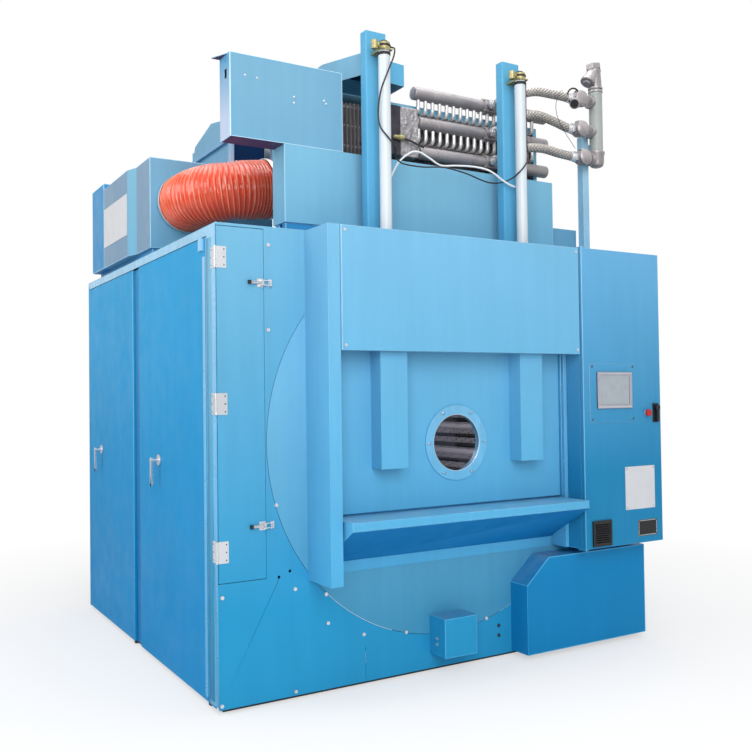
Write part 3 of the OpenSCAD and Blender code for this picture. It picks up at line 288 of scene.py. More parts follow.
# Dark violet for undersides: painted shade with a painted reflection of the orange duct.
paint_shaded_by_height("shade_violet_paint", (70, 54, 86), (76, 60, 92))
# Paler copies of the blue for bent edges, rails and a few lit parts, as painted highlights.
paint_shaded_by_height("bright_edge_paint", (130, 196, 228), (190, 222, 240), rough=0.28, gloss=0.5)
paint_shaded_by_height("edge_paint", (66, 160, 206), (160, 202, 226), rough=0.3, gloss=0.3, vary=0.1)
print("finishes", len(finishes))

# %% [markdown]
# ## Bent sheet edges
# A folded sheet has a bend radius of a few millimetres, and that thin round edge is what catches the
# light. A CAD mesh is loose triangles, so a copy is welded first, and every outer edge gets a bevel
# weight that a Bevel modifier reads. Thin edges get a smaller weight, so no bevel runs through a 3 mm
# sheet. A bevel can still tear a mesh at tiny edges, and torn faces change the surface area, so the
# area is compared and the short edges are left sharp where it moved.


# %% Dress a CAD node
bend_angle = math.radians(28)


def weight_edges(bm, width, shortest=0.0):
    """Marks the outer edges that a bevel may round, and how far there is room for it."""
    layer = bm.edges.layers.float.get("bevel_weight_edge") or bm.edges.layers.float.new("bevel_weight_edge")
    for f in bm.faces:
        f.smooth = True
    for e in bm.edges:
        if len(e.link_faces) != 2:
            e.smooth = False
            continue
        turn_angle = e.calc_face_angle_signed(0)
        e.smooth = abs(turn_angle) < bend_angle
        if turn_angle > bend_angle and e.calc_length() > shortest:
            room = min(f.calc_area() / max(e.calc_length(), 1e-6) for f in e.link_faces)
            way = (e.verts[1].co - e.verts[0].co).normalized()
            for v in e.verts:
                for n in v.link_edges:
                    if n != e and abs((n.verts[1].co - n.verts[0].co).normalized().dot(way)) < 0.85:
                        room = min(room, n.calc_length())
            e[layer] = max(0.0, min(1.0, 0.42 * room / width))


def surface(obj):
    """Surface area of a mesh object with its modifiers."""
    held = obj.evaluated_get(bpy.context.evaluated_depsgraph_get())
    return sum(p.area for p in held.data.polygons)


def settle(obj, body, width=0.0, replaces=(), segments=3, rim=-1):
    """Rounds the weighted edges of a finished mesh and makes it ride on its body."""
    if width:
        plain = sum(p.area for p in obj.data.polygons)
        b = obj.modifiers.new("edges", "BEVEL")
        b.width = width
        b.segments = segments
        b.limit_method = "WEIGHT"
        b.use_clamp_overlap = False
        b.harden_normals = True
        b.material = rim
        for shortest in (0.03, 99.0):
            if abs(surface(obj) - plain) < 0.05 * plain:
                break
            weights = obj.data.attributes["bevel_weight_edge"].data
            for e in obj.data.edges:
                a, c = (obj.data.vertices[i].co for i in e.vertices)
                if (a - c).length < shortest:
                    weights[e.index].value = 0.0
            obj.data.update()
            print(obj.name, "short edges left sharp below", shortest)
    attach(obj, body)
    if replaces:
        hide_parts(*replaces)
    return obj


def dress(node, materials, width=0.003, choose=None, rim="edge_paint", shortest=0.0):
    """A welded, edge-rounded copy of a CAD node in one finish, or several chosen by place."""
    materials = [materials] if isinstance(materials, str) else materials
    mesh = nodes[node].data.copy()
    mesh.materials.clear()
    bm = bmesh.new()
    bm.from_mesh(mesh)
    bmesh.ops.remove_doubles(bm, verts=bm.verts, dist=1e-5)
    weight_edges(bm, width, shortest)
    if choose:
        for f in bm.faces:
            c = f.calc_center_median()
            f.material_index = choose((c.x * 1000 + zero_x, c.y * 1000 + zero_y, c.z * 1000), f.normal)
    bm.to_mesh(mesh)
    bm.free()
    # The rim finish goes on the bevel faces; the pale edge paint there is a painted highlight.
    for m in materials + ([rim] if rim else []):
        mesh.materials.append(finishes[m])
    obj = new_object(node + "_finished", mesh)
    return settle(obj, body_of[node], width, [node], rim=len(materials) if rim else -1)


sheets = {
    "rear_panel": ("blue_paint", 0.002), "body_skins": ("blue_paint", 0.003),
    "column_covers": ("door_blue_paint", 0.005), "header_panel": ("door_blue_paint", 0.006),
    "rear_covers": ("blue_paint", 0.005), "cabinet_shell": ("cabinet_blue_paint", 0.004),
    "plenum_box": ("blue_paint", 0.004), "heater_box": ("blue_paint", 0.004),
    "front_door_panel": ("door_blue_paint", 0.004), "front_door_channels": ("door_blue_paint", 0.006),
    "rear_door_panel": ("blue_paint", 0.004), "cabinet_door": ("cabinet_blue_paint", 0.004)}
for name, (paint, width) in sheets.items():
    dress(name, paint, width)
print("dressed sheets", len(sheets))

# %% [markdown]
# ## Sheets with more than one finish
# Some CAD nodes hold parts of different finish: the hinge leaves on the access door, the rail over the
# side doors in a pale paint as a painted highlight, and the recess between them in a darker paint as
# painted shade. Each face picks its finish from its place on the drawing, in mm, and from the way it
# faces; most choosers pick lit and shaded copies of the blue, as painted light and painted shade.


# %% Sheets with several finishes
def hinge_faces(c, n):
    return int(c[1] < -0.3 and (c[0] < 56 or c[0] > 200))


# The rail faces take the pale edge paint as a painted highlight, the recess the darker copy as painted shade.
def side_faces(c, n):
    if (c[1] < 130 and n.x < -0.9 and c[2] > 100) or (c[2] > 2204 and c[0] < 5):
        return 1
    return 2 if c[0] > 8 and 1200 < c[1] < 1400 else 0


# Lit and shaded copies of the blue: the rear part darker as painted shade, faces turned left in other tones as painted
# light.
def housing_faces(c, n):
    if c[1] > 2040.5:
        return 2
    return 1 if n.x < -0.99 and c[0] < 32 else 3 if n.x < -0.8 else 0


# Undersides take dark violet as painted shade with a painted reflection of the duct; high left faces the pale copy as
# painted light.
def box_faces(c, n):
    if n.z < -0.9 and c[2] > 2650:
        return 2
    return 1 if n.x < -0.9 and c[2] > 2700 else 0


# Undersides take the dark copy as painted shade; faces turned left take the paler upper copy as painted light.
def hood_faces(c, n):
    return 1 if n.z < -0.5 else 2 if n.x < -0.3 else 0


# The frame takes the pale copy as painted light, some right-hand faces the edge paint as painted highlight, and the
# rest the darker copy as painted shade.
def stand_faces(c, n):
    return 1 if c[2] > 2818 and c[0] < 1000 else 2 if c[0] > 2400 and c[1] < 165 else 0


dress("front_panel", "blue_paint", 0.002, rim=None)
dress("front_ring", "ring_blue_paint", 0.001, rim=None)
# The sill's undersides take the darker copy as painted shade.
dress("sill_shelf", ["door_blue_paint", "deep_blue_paint"], 0.005, lambda c, n: int(n.z < -0.2))
dress("drive_cover", ["cover_blue_paint", "blue_paint"], 0.005, lambda c, n: int(c[0] < 1400))
# Bent edges of the upper box and lift posts take the brighter edge paint as painted highlights.
dress("duct_boxes", ["upper_blue_paint", "pale_blue_paint", "shade_violet_paint"], 0.004, box_faces,
    rim="bright_edge_paint")
dress("lift_posts", "post_blue_paint", 0.009, rim="bright_edge_paint", shortest=0.3)
dress("coil_hood", ["post_blue_paint", "shade_blue_paint", "upper_blue_paint"], 0.004, hood_faces, shortest=0.05)
dress("fan_volute", ["upper_blue_paint", "shade_blue_paint"], 0.003, lambda c, n: int(n.y < -0.3), shortest=0.05)
dress("access_door", ["blue_paint", "bright_metal"], 0.004, hinge_faces, shortest=9.0)
# The pivot block on the side door takes the pale edge paint as a painted highlight.
dress("left_door_front", ["side_blue_paint", "edge_paint"], 0.005, lambda c, n: int(c[0] < -0.5), shortest=0.101)
dress("left_door_rear", "side_blue_paint", 0.005, shortest=0.101)
dress("side_strips", ["side_blue_paint", "edge_paint", "deep_blue_paint"], 0.003, side_faces, shortest=0.101)
dress("filter_housing", ["upper_blue_paint", "grey_blue_paint", "deep_blue_paint", "blue_paint"], 0.004, housing_faces)
dress("roof_stands", ["deep_blue_paint", "pale_blue_paint", "edge_paint"], 0.003, stand_faces)

# %% [markdown]
# ## Machined and moulded parts
# Frame tubes, shafts, wheels and plates keep their CAD shape. They only need small rounded edges and
# the finish of what they are made of, so the same helper dresses them.

# %% Dress the mechanical parts
for name, (mat, width) in {
        "base_frame": ("dark_steel", 0.003), "drum_casing": ("steel", 0.002),
        "cylinder_barrels": ("white_enamel", 0.002), "cylinder_fittings": ("brass", 0.002),
        "bearing_blocks": ("dark_steel", 0.004), "drive_belt": ("belt_rubber", 0.001),
        "motors": ("motor_paint", 0.004), "cabinet_internals": ("black_plastic", 0.003),
        "front_hardware": ("bright_metal", 0.001), "heater_fins": ("silver_paint", 0.0005),
        "duct_clamps": ("bright_metal", 0.001), "front_piston_rods": ("bright_metal", 0.002),
        "rear_piston_rods": ("bright_metal", 0.002), "drum": ("drum_steel", 0.002),
        "motor_pulley": ("dark_steel", 0.002), "handle_front": ("bright_metal", 0.003),
        "handle_rear": ("bright_metal", 0.003), "cabinet_lock": ("black_plastic", 0.002),
        "red_button": ("red_plastic", 0.003), "fan_wheel": ("steel", 0.001)}.items():
    dress(name, mat, width, rim=None)
for name in ("latch_upper", "latch_lower"):
    dress(name, ["bright_metal", "black_plastic"], 0.001, lambda c, n: int(c[0] < 170), None)
print("dressed machine parts")

# %% [markdown]
# ## Mesh helpers
# Pipes are sweeps along a path and turned fittings are lathed profiles. Both are plain lists of
# points and faces that a small builder collects into one mesh, so a valve is one piece.


# %% Mesh builder
class Build:
    """Collects points and faces, then becomes one mesh object."""

    def __init__(self):
        self.v, self.f, self.m = [], [], []

    def put(self, verts, faces, mat=0):
        k = len(self.v)
        self.v += [Vector(p) for p in verts]
        self.f += [[i + k for i in f] for f in faces]
        self.m += [mat] * len(faces)

    def sweep(self, path, radius, n=20, mat=0):
        """A capped tube along points; radius is a number or one per point."""
        pts = [Vector(p) for p in path]
        rad = radius if isinstance(radius, (list, tuple)) else [radius] * len(pts)
        side = None
        verts = []
        for i, p in enumerate(pts):
            d = (pts[min(i + 1, len(pts) - 1)] - pts[max(i - 1, 0)]).normalized()
            side = side or d.orthogonal()
            side = (side - d * side.dot(d)).normalized()
            other = d.cross(side)
            spins = [2 * math.pi * j / n for j in range(n)]
            verts += [p + rad[i] * (math.cos(a) * side + math.sin(a) * other) for a in spins]
        faces = [[i * n + j, i * n + (j + 1) % n, (i + 1) * n + (j + 1) % n, (i + 1) * n + j]
                 for i in range(len(pts) - 1) for j in range(n)]
        faces += [list(range(n))[::-1], [(len(pts) - 1) * n + j for j in range(n)]]
        self.put(verts, faces, mat)

    def lathe(self, profile, origin, axis, n=28, mat=0):
        """Turns (height, radius) pairs in mm round an axis; the ends are capped."""
        o, a = Vector(origin), Vector(axis).normalized()
        self.sweep([o + a * h / 1000 for h, _ in profile], [max(r / 1000, 1e-5) for _, r in profile], n, mat)

    def block(self, lo, hi):
        x, y, z = zip(lo, hi)
        v = [(i, j, k) for k in z for j in y for i in x]
        self.put(v, [[0, 2, 3, 1], [4, 5, 7, 6], [0, 1, 5, 4], [2, 6, 7, 3], [0, 4, 6, 2], [1, 3, 7, 5]])

    def piece(self, name, materials, body="frame", width=0.0015, replaces=()):
        mesh = bpy.data.meshes.new(name)
        mesh.from_pydata([tuple(p) for p in self.v], [], self.f)
        mesh.polygons.foreach_set("material_index", self.m)
        bm = bmesh.new()
        bm.from_mesh(mesh)
        if width:
            weight_edges(bm, width)
        else:
            for f in bm.faces:
                f.smooth = True
        bm.to_mesh(mesh)
        bm.free()
        for m in materials:
            mesh.materials.append(finishes[m])
        return settle(new_object(name, mesh), body, width, replaces, segments=2)


def around(degrees, a=X, b=Z):
    """A unit vector in the plane of a and b, turned by an angle from a."""
    return math.cos(math.radians(degrees)) * a + math.sin(math.radians(degrees)) * b


def plate(name, paint, lo, hi, body="frame", width=0.0005):
    """One thin block between two corners of the drawing."""
    b = Build()
    b.block(at(*lo), at(*hi))
    b.piece(name, [paint], body, width)


print("builder ready")

# %% [markdown]
# ## Geometry Nodes helpers
# What repeats or follows a path is grown by Geometry Nodes: named inputs hold the sizes, a modifier
# sets them by socket identifier, and the evaluated result is kept as a plain mesh.


# %% Geometry Nodes helpers
def new_tree(name, sizes, counts=""):
    """A tree whose inputs are geometry, sizes, whole counts and Finish; returns it, its inputs, its end."""
    g = bpy.data.node_groups.new(name, "GeometryNodeTree")
    for way in ("INPUT", "OUTPUT"):
        g.interface.new_socket("Geometry", in_out=way, socket_type="NodeSocketGeometry")
    for kind, words in (("Float", sizes), ("Int", counts), ("Material", "Finish")):
        for k in words.split():
            g.interface.new_socket(k, in_out="INPUT", socket_type="NodeSocket" + kind)
    source = g.nodes.new("NodeGroupInput").outputs
    sink = g.nodes.new("NodeGroupOutput")

    def end(geometry):
        real = add(g, "GeometryNodeRealizeInstances", Geometry=geometry)
        plug(g, sink, i0=add(g, "GeometryNodeSetMaterial", Geometry=real, Material=source["Finish"]))

    return g, source, end


def grow(name, mesh, tree, paint, body="frame", replaces=(), slot=None, smooth=30, **values):
    """Runs a tree on a mesh and keeps the evaluated result as one plain piece."""
    values["Finish"] = finishes[paint]
    seed = new_object(name + "_seed", mesh)
    mod = seed.modifiers.new("grow", "NODES")
    mod.node_group = tree
    for item in tree.interface.items_tree:
        if item.in_out == "INPUT" and item.name in values:
            mod[item.identifier] = values[item.name]
    held = seed.evaluated_get(bpy.context.evaluated_depsgraph_get())
    result = bpy.data.meshes.new_from_object(held)
    bpy.data.objects.remove(seed)
    result.name = name
    result.shade_smooth()
    if smooth:
        result.set_sharp_from_angle(angle=math.radians(smooth))
    print(name, len(result.polygons), "faces")
    return settle(new_object(name, result), body, 0, replaces)


def store(g, geometry, name, value, kind="FLOAT"):
    """Keeps a value on each point."""
    return add(g, "GeometryNodeStoreNamedAttribute", {"data_type": kind, "domain": "POINT"},
               Geometry=geometry, Name=name, Value=value)


def stored(g, name, kind="FLOAT"):
    return add(g, "GeometryNodeInputNamedAttribute", {"data_type": kind}, Name=name)


def swept(g, src, caps=False):
    """A circle swept along the seed path, and how far along and round each point is."""
    curve = add(g, "GeometryNodeMeshToCurve", Mesh=src["Geometry"])
    even = add(g, "GeometryNodeResampleCurve", Curve=curve, Count=src["Steps"])
    ring = add(g, "GeometryNodeCurvePrimitiveCircle", Resolution=src["Sides"], Radius=src["Radius"])
    spline = add(g, "GeometryNodeSplineParameter").outputs
    path, profile = store(g, even, "along", spline["Length"]), store(g, ring, "round", spline["Factor"])
    skin = add(g, "GeometryNodeCurveToMesh", Curve=path, Profile_Curve=profile, Fill_Caps=caps)
    return skin, stored(g, "along"), stored(g, "round")


def pushed(g, skin, by):
    """Moves each point along its normal."""
    return add(g, "GeometryNodeSetPosition", Geometry=skin, Offset=scaled(g, add(g, "GeometryNodeInputNormal"), by))


def copies(g, points, shape, direction, axis="Z"):
    """A copy of a shape on each point, with its axis turned to a direction."""
    aim = add(g, "FunctionNodeAlignRotationToVector", {"axis": axis}, Vector=direction)
    return add(g, "GeometryNodeInstanceOnPoints", Points=points, Instance=shape, Rotation=aim)


def points_mesh(points, axes=None):
    """A mesh of bare vertices, each with the direction it points in."""
    mesh = bpy.data.meshes.new("points")
    mesh.from_pydata([tuple(p) for p in points], [], [])
    if axes is not None:
        a = mesh.attributes.new("axis", "FLOAT_VECTOR", "POINT")
        a.data.foreach_set("vector", [c for v in axes for c in v])
    return mesh


def path_mesh(paths):
    """Open chains of edges, one for each path."""
    v, e = [], []
    for p in paths:
        e += [(len(v) + i, len(v) + i + 1) for i in range(len(p) - 1)]
        v += [tuple(q) for q in p]
    mesh = bpy.data.meshes.new("paths")
    mesh.from_pydata(v, e, [])
    return mesh


# %% [markdown]
# ## Orange hot-air duct
# The filter housing feeds the heater through a silicone-coated fabric sleeve over a spring wire.
# The wire makes a sharp ridge every 18 mm and the cloth sinks between the ridges, with creases on
# the inside of the bend. The tree sweeps a circle along the path, then moves each point along its
# normal by a ridge profile and a stretched noise.

# %% Orange duct
duct_r, duct_bend, duct_run, duct_reach = 0.165, 0.23, 0.12, 0.575
duct_tilt = math.radians(8.1)


def duct_point(lx, ly):
    return at(240, 1110, 2570) + Vector((lx * math.cos(duct_tilt), ly, lx * math.sin(duct_tilt)))


duct_path = [duct_point(0, 0.006 - t) for t in np.linspace(0, duct_run + 0.006, 14)[:-1]]
duct_path += [duct_point(duct_bend - duct_bend * math.cos(a), -duct_run - duct_bend * math.sin(a))
              for a in np.linspace(0, math.pi / 2, 44)]
duct_path += [duct_point(t, -duct_run - duct_bend) for t in np.linspace(duct_bend, duct_reach, 40)[1:]]

g, src, end = new_tree("wire_sleeve", "Radius Ridge Pitch Crease", "Steps Sides")
skin, along, girth = swept(g, src)
laps = maths(g, "DIVIDE", along, src["Pitch"])
arch = maths(g, "SINE", times(g, maths(g, "ADD", laps, girth), math.pi))
crest = maths(g, "POWER", maths(g, "SUBTRACT", 1.0, maths(g, "ABSOLUTE", arch)), 1.6)
spin = times(g, girth, 2 * math.pi)
pleat_at = vector(g, X=maths(g, "SINE", spin), Y=maths(g, "COSINE", spin), Z=times(g, laps, 0.42))
fold = ramp(g, clouds(g, pleat_at, 9, 2, Distortion=0.3), 0.35, 0.68, To_Max=src["Crease"])
sag = times(g, maths(g, "SUBTRACT", 1.0, crest), maths(g, "ADD", src["Ridge"], fold))
end(store(g, pushed(g, skin, times(g, sag, -1.0)), "crest", crest))

# %% Orange cloth
finish("duct_fabric", (232, 64, 6), 0.3, vary=0.1, tone=14, grain=900, bump=0.12, rough_vary=0.05, coat=0.7, shade_below=0.3)
t = finishes["duct_fabric"].node_tree
base = t.nodes["Principled BSDF"].inputs["Base Color"]
# The wire ridges are mixed towards pale pink as a painted highlight.
crest_highlight = add(t, "ShaderNodeAttribute", {"attribute_name": "crest"}).outputs["Fac"]
t.links.new(mix(t, ramp(t, crest_highlight, 0.5, 0.95, To_Max=0.7), base.links[0].from_socket, linear(255, 176, 140)), base)
grow("air_duct_sleeve", path_mesh([duct_path]), g, "duct_fabric", replaces=["air_duct"], slot="duct_fabric", smooth=0,
     Radius=duct_r, Ridge=0.0075, Pitch=0.0185, Crease=0.0025, Steps=600, Sides=110)

# %% [markdown]
# ## Steam coil
# Three headers carry the steam, and rows of thin hairpin tubes run from the upper two back into the
# heater. One hairpin is a bent path, and the tree copies it along the header at a fixed pitch.

# %% Hairpin tubes
coil_y, coil_zs, heater_y, union_x = 190, (3104, 2942, 2778), 236, 1736


def hairpin(x, z):
    """A tube that goes down from its header and bends back into the heater."""
    top, low, r = at(x, coil_y, z - 20), at(x, coil_y, z - 79), 0.026
    bend = [low + r * (Y + around(t, -Y, -Z)) for t in np.linspace(0, 90, 8)]
    return [top, top - 0.03 * Z, low + 0.01 * Z] + bend + [at(x, heater_y + 30, z - 105)]


g, src, end = new_tree("hairpins", "Pitch Tube", "Count")
curve = add(g, "GeometryNodeMeshToCurve", Mesh=src["Geometry"])
ring = add(g, "GeometryNodeCurvePrimitiveCircle", Resolution=12, Radius=src["Tube"])
tube = add(g, "GeometryNodeCurveToMesh", Curve=curve, Profile_Curve=ring, Fill_Caps=True)
step = vector(g, X=src["Pitch"])
row = add(g, "GeometryNodeMeshLine", Count=src["Count"], Offset=step)
end(add(g, "GeometryNodeInstanceOnPoints", Points=row, Instance=tube))
for i, z in enumerate(coil_zs[:2]):
    grow(f"hairpins_{i}", path_mesh([hairpin(1257, z)]), g, "highlit_tube", Count=18, Pitch=0.048, Tube=0.011)

# %% [markdown]
# ## Headers, unions and the end box
# The headers are pipes with flanged unions where the hoses leave. The end box is a thin folded
# housing whose paint has wrinkled, so its faces are subdivided and pushed about by noise. Its left
# edge is pleated, with dark stripes along the pleats as painted shade.

# %% Headers
b = Build()
for i, z in enumerate(coil_zs):
    x0 = 1220 if i == 0 else 1248
    run = 2175 - x0
    b.lathe([(0, 26), (3, 34), (6, 36), (run - 6, 36), (run - 3, 34), (run, 26)], at(x0, coil_y, z), X, 32)
    b.lathe([(0, 38), (3, 48.5), (17, 48.5), (20, 43), (28, 42), (52, 42), (60, 43), (63, 48.5), (77, 48.5), (80, 38)],
            at(union_x - 40, coil_y, z), X, 8)
    b.lathe([(-4, 36.5), (-2, 38.5), (2, 38.5), (4, 36.5)], at(x0 + 130, coil_y, z), X, 32)
    b.lathe([(0, 30), (12, 33.5), (30, 30.5), (58, 29)], at(union_x, coil_y - 5, z), -Y, 20)
    for a in range(4):
        bolt = at(union_x - 46, coil_y, z) + 0.0425 * around(45 + 90 * a, Y)
        b.lathe([(0, 4), (2, 6), (90, 6), (92, 4)], bolt, X, 6)
for z in coil_zs[1:]:
    b.lathe([(0, 20), (30, 28)], at(1214, coil_y, z), X)
b.piece("coil_headers", ["silver_paint"], replaces=["steam_coil"])

# %% End box and drain valve
bm = bmesh.new()
lo, hi = at(1050, 150, 2735), at(1228, 236, 3002)
bmesh.ops.create_cube(bm, size=1, matrix=Matrix.Translation((lo + hi) / 2) @ Matrix.Diagonal((*(hi - lo), 1)))
bmesh.ops.subdivide_edges(bm, edges=bm.edges[:], cuts=44, use_grid_fill=True)
pleated, pleat_rate = lo.x + 0.062, 520
for v in bm.verts:
    rumple = 0.5 * noise.noise(v.co * 24) + 0.8 * noise.noise(v.co * 60) + 0.6 * noise.noise(v.co * 110)
    push = 0.009 * math.sin(v.co.x * pleat_rate) if v.co.x < pleated else rumple * 0.0055
    v.co += Y * push + Z * rumple * 0.003
bmesh.ops.recalc_face_normals(bm, faces=bm.faces[:])
for f in bm.faces:
    f.smooth = True
    x = f.calc_center_median().x
    # Dark stripes along the pleats, as painted shade.
    f.material_index = int(x < pleated and math.sin(x * pleat_rate) < 0.45)
mesh = bpy.data.meshes.new("coil_end_box")
bm.to_mesh(mesh)
bm.free()
mesh.materials.append(finishes["foil"])
mesh.materials.append(finishes["pleat_shade"])
settle(new_object("coil_end_box", mesh), "frame")
b = Build()
b.lathe([(0, 6), (4, 11), (30, 12), (34, 16), (62, 16), (66, 10)], at(1058, 134, 2826), X, 16)
b.sweep([at(1120, 134, 2826), at(1160, 132, 2818), at(1215, 130, 2802), at(1250, 130, 2792)], 0.006, 12, 1)
b.piece("drain_valve", ["brass", "dark_steel"], width=0.001)
print("headers and end box")

# %% [markdown]
# ## Braided steam hoses
# A stainless braid covers each hose. Its wires run in two crossing helices, so the tree sweeps a skin
# along the hose and lifts each point by the higher of two spiral waves, one for each direction. That
# shows every strand without making it a piece of its own.

# %% Braided hoses
hose_routes = (
    [[1744, 82, 3107], [1768, 62, 3116], [1800, 56, 3133], [1850, 58, 3157], [1910, 60, 3178], [2005, 60, 3202],
     [2130, 60, 3206], [2210, 60, 3206], [2240, 60, 3206], [2272, 60, 3206]],
    [[1743, 84, 2947], [1766, 64, 2965], [1796, 56, 2990], [1842, 58, 3020], [1915, 60, 3048], [2010, 60, 3064],
     [2130, 60, 3046], [2222, 60, 3026], [2250, 60, 3024], [2263, 60, 3024], [2276, 60, 3024]],
    [[1743, 83, 2781], [1767, 63, 2796], [1798, 56, 2815], [1845, 58, 2838], [1918, 60, 2860], [2040, 60, 2873],
     [2160, 60, 2862], [2240, 60, 2857], [2268, 60, 2857], [2296, 60, 2857]])


def smooth_path(points, n=16):
    """Catmull-Rom points through a route."""
    p = [Vector(q) for q in points]
    p = [2 * p[0] - p[1]] + p + [2 * p[-1] - p[-2]]
    out = []
    for i in range(1, len(p) - 2):
        for t in np.linspace(0, 1, n, endpoint=False):
            a, b_, c, d = p[i - 1], p[i], p[i + 1], p[i + 2]
            bow = (2 * a - 5 * b_ + 4 * c - d) * t * t + (3 * b_ - a - 3 * c + d) * t ** 3
            out.append(0.5 * (2 * b_ + (c - a) * t + bow))
    return out + [p[-2]]


hose_paths = [smooth_path([at(union_x, y, z) for y in (131.6, 121, 110)] + [at(*q) for q in route])
              for z, route in zip(coil_zs, hose_routes)]
g, src, end = new_tree("braid", "Radius Depth Strands Lay", "Steps Sides")
skin, along, girth = swept(g, src, caps=True)
turns, runs = times(g, girth, src["Strands"]), maths(g, "DIVIDE", along, src["Lay"])
waves = [maths(g, "SINE", times(g, maths(g, op, turns, runs), 2 * math.pi)) for op in ("ADD", "SUBTRACT")]
end(pushed(g, skin, times(g, maths(g, "MAXIMUM", *waves), src["Depth"])))
grow("steam_hose_braids", path_mesh(hose_paths), g, "braided_steel", replaces=["steam_hoses"], slot="braided_steel",
     smooth=0, Radius=0.0236, Depth=0.0022, Strands=8.0, Lay=0.024, Steps=320, Sides=72)
b = Build()
for p in hose_paths:
    for a, d in ((p[0], -Y), (p[-1], -X)):
        b.lathe([(-2, 26), (0, 33), (12, 33), (14, 29)], a, d, 6)
        b.lathe([(12, 27), (15, 29.5), (26, 29.5), (28, 27.5), (38, 27.5), (41, 25.5)], a, d, 28)
b.piece("hose_ends", ["bright_metal"])

# %% [markdown]
# ## Cable and air tube
# A black cable and a white air tube hang loosely between the fittings above the door, and a thin wire
# hangs from the first valve. They are free lines that go back into the machine.

# %% Free lines
cable_route = [[871, -128, 3180], [884, -140, 3178], [887, -160, 3163], [873, -173, 3120], [850, -177, 3070],
    [825, -173, 3010], [807, -159, 2950], [799, -146, 2880], [798, -143, 2812], [805, -153, 2760], [825, -172, 2722],
    [850, -176, 2695], [882, -161, 2670], [903, -130, 2650], [935, -96, 2634], [985, -80, 2620], [1102, -75, 2620],
    [1240, -74, 2634], [1376, -74, 2620], [1500, -74, 2592], [1570, -75, 2588], [1630, -80, 2600], [1657, -98, 2612],
    [1668, -124, 2622], [1673, -152, 2636], [1690, -171, 2660], [1712, -175, 2690], [1736, -165, 2722],
    [1749, -146, 2765], [1753, -134, 2830], [1754, -130, 2950], [1755, -130, 3080], [1754, -132, 3150],
    [1748, -134, 3174], [1741, -135, 3178]]
tube_route = [[907, -30, 2500], [930, -30, 2545], [985, -30, 2640], [1060, -30, 2700], [1118, -30, 2708],
    [1180, -30, 2684], [1250, -30, 2656], [1342, -30, 2666], [1448, -40, 2672], [1520, -66, 2660], [1570, -76, 2640],
    [1625, -84, 2606], [1672, -92, 2584], [1712, -98, 2574], [1740, -104, 2568], [1756, -112, 2540],
    [1761, -112, 2490], [1763, -112, 2400], [1764, -112, 2300], [1764, -112, 2236]]
wire_route = [[2172, 26, 3228], [2140, 10, 3206], [2110, 6, 3160], [2100, 6, 3110], [2112, 6, 3055], [2160, 8, 2985],
    [2220, 12, 2925], [2262, 22, 2894]]
for name, route, radius, mat, old in (
        ("door_cable", cable_route, 0.004, "black_cable", ["air_tubes"]),
        ("air_tube", tube_route, 0.005, "tube_plastic", []),
        ("valve_wire", wire_route, 0.0016, "black_cable", [])):
    line = smooth_path([at(*q) for q in route], 10)
    b = Build()
    b.sweep(line, radius, 16)
    piece = b.piece(name, [mat], width=0.0, replaces=old)

# %% [markdown]
# ## Riser, valves and strainer
# Screwed pipework: couplings with a raised band, valve bodies with hexagon ends and a round bonnet,
# and a strainer with a slanted leg. They are lathed shapes on one another.

# %% Riser
riser_x, riser_y, valve_zs, valve_x0 = 2472, 60, (3206, 3024, 2857), (2273, 2277, 2297)
b = Build()
b.lathe([(0, 36), (3, 40), (428, 40), (431, 38)], at(riser_x, riser_y, 2857), Z, 40)
b.lathe([(0, 18), (4, 30), (10, 38), (24, 44), (74, 46), (82, 50), (94, 50), (98, 42)],
        at(riser_x, riser_y, 2812), Z, 36, 1)
b.lathe([(0, 40), (2, 44), (12, 44), (14, 40)], at(riser_x, riser_y, 3268), Z, 36, 1)
for z in valve_zs:
    b.lathe([(0, 30), (42, 34), (46, 40), (58, 40), (61, 32)], at(riser_x, riser_y, z), -X, 28, 1)
b.piece("riser_pipe", ["grey_pipe", "silver_paint"], replaces=["steam_riser"])

# %% Valves
b = Build()
for i, (x0, z) in enumerate(zip(valve_x0, valve_zs)):
    mid = at(x0 + 58, riser_y, z)
    b.lathe([(0, 22), (3, 30), (18, 30), (20, 24)], at(x0, riser_y, z), X, 6)
    b.lathe([(14, 26), (18, 36), (28, 38), (34, 32), (58, 36), (80, 32), (86, 38), (96, 38), (100, 26)],
            at(x0, riser_y, z), X, 28)
    dome = [(-42, 12), (-40, 26), (-30, 38), (-10, 43), (14, 44), (22, 48), (36, 48), (40, 43)]
    cap = [(44, 36), (50, 22), (52, 8)] if i else [(43, 30), (46, 14)]
    b.lathe(dome + cap, mid, -Y, 36)
    b.lathe([(0, 20), (34, 22), (40, 26), (52, 26), (55, 16)], mid, Z, 24)
    for a in range(6):
        b.lathe([(20, 5), (40, 5.5), (42, 3)], mid + 0.040 * around(60 * a + 30), -Y, 6)
pull = Vector((-0.74, -0.50, -0.45)).normalized()
mouth = at(valve_x0[0] + 58, riser_y, valve_zs[0])
b.lathe([(30, 22), (60, 26), (84, 26), (88, 31), (122, 31), (123, 28)], mouth, pull, 28)
b.lathe([(122.5, 24.5), (123.8, 24.5)], mouth, pull, 24, 1)
foot = at(riser_x, riser_y, 3298)
lean, down = around(96), around(236)
b.lathe([(-10, 38), (-8, 44), (4, 44), (6, 38)], foot, Z, 36)
b.lathe([(0, 34), (4, 39), (90, 40), (98, 43), (111, 43), (113, 36)], foot, lean, 36)
b.lathe([(112, 40), (114, 47), (144, 47), (149, 40)], foot, lean, 6)
b.lathe([(0, 34), (60, 38), (74, 40), (78, 45), (96, 45), (100, 40)], foot + 0.106 * lean, down, 30)
b.lathe([(98, 24), (101, 28), (108, 28), (111, 22)], foot + 0.106 * lean, down, 6)
b.piece("valves_and_strainer", ["silver_paint", "black_plastic"], replaces=["steam_valves"])
hoop = Build()
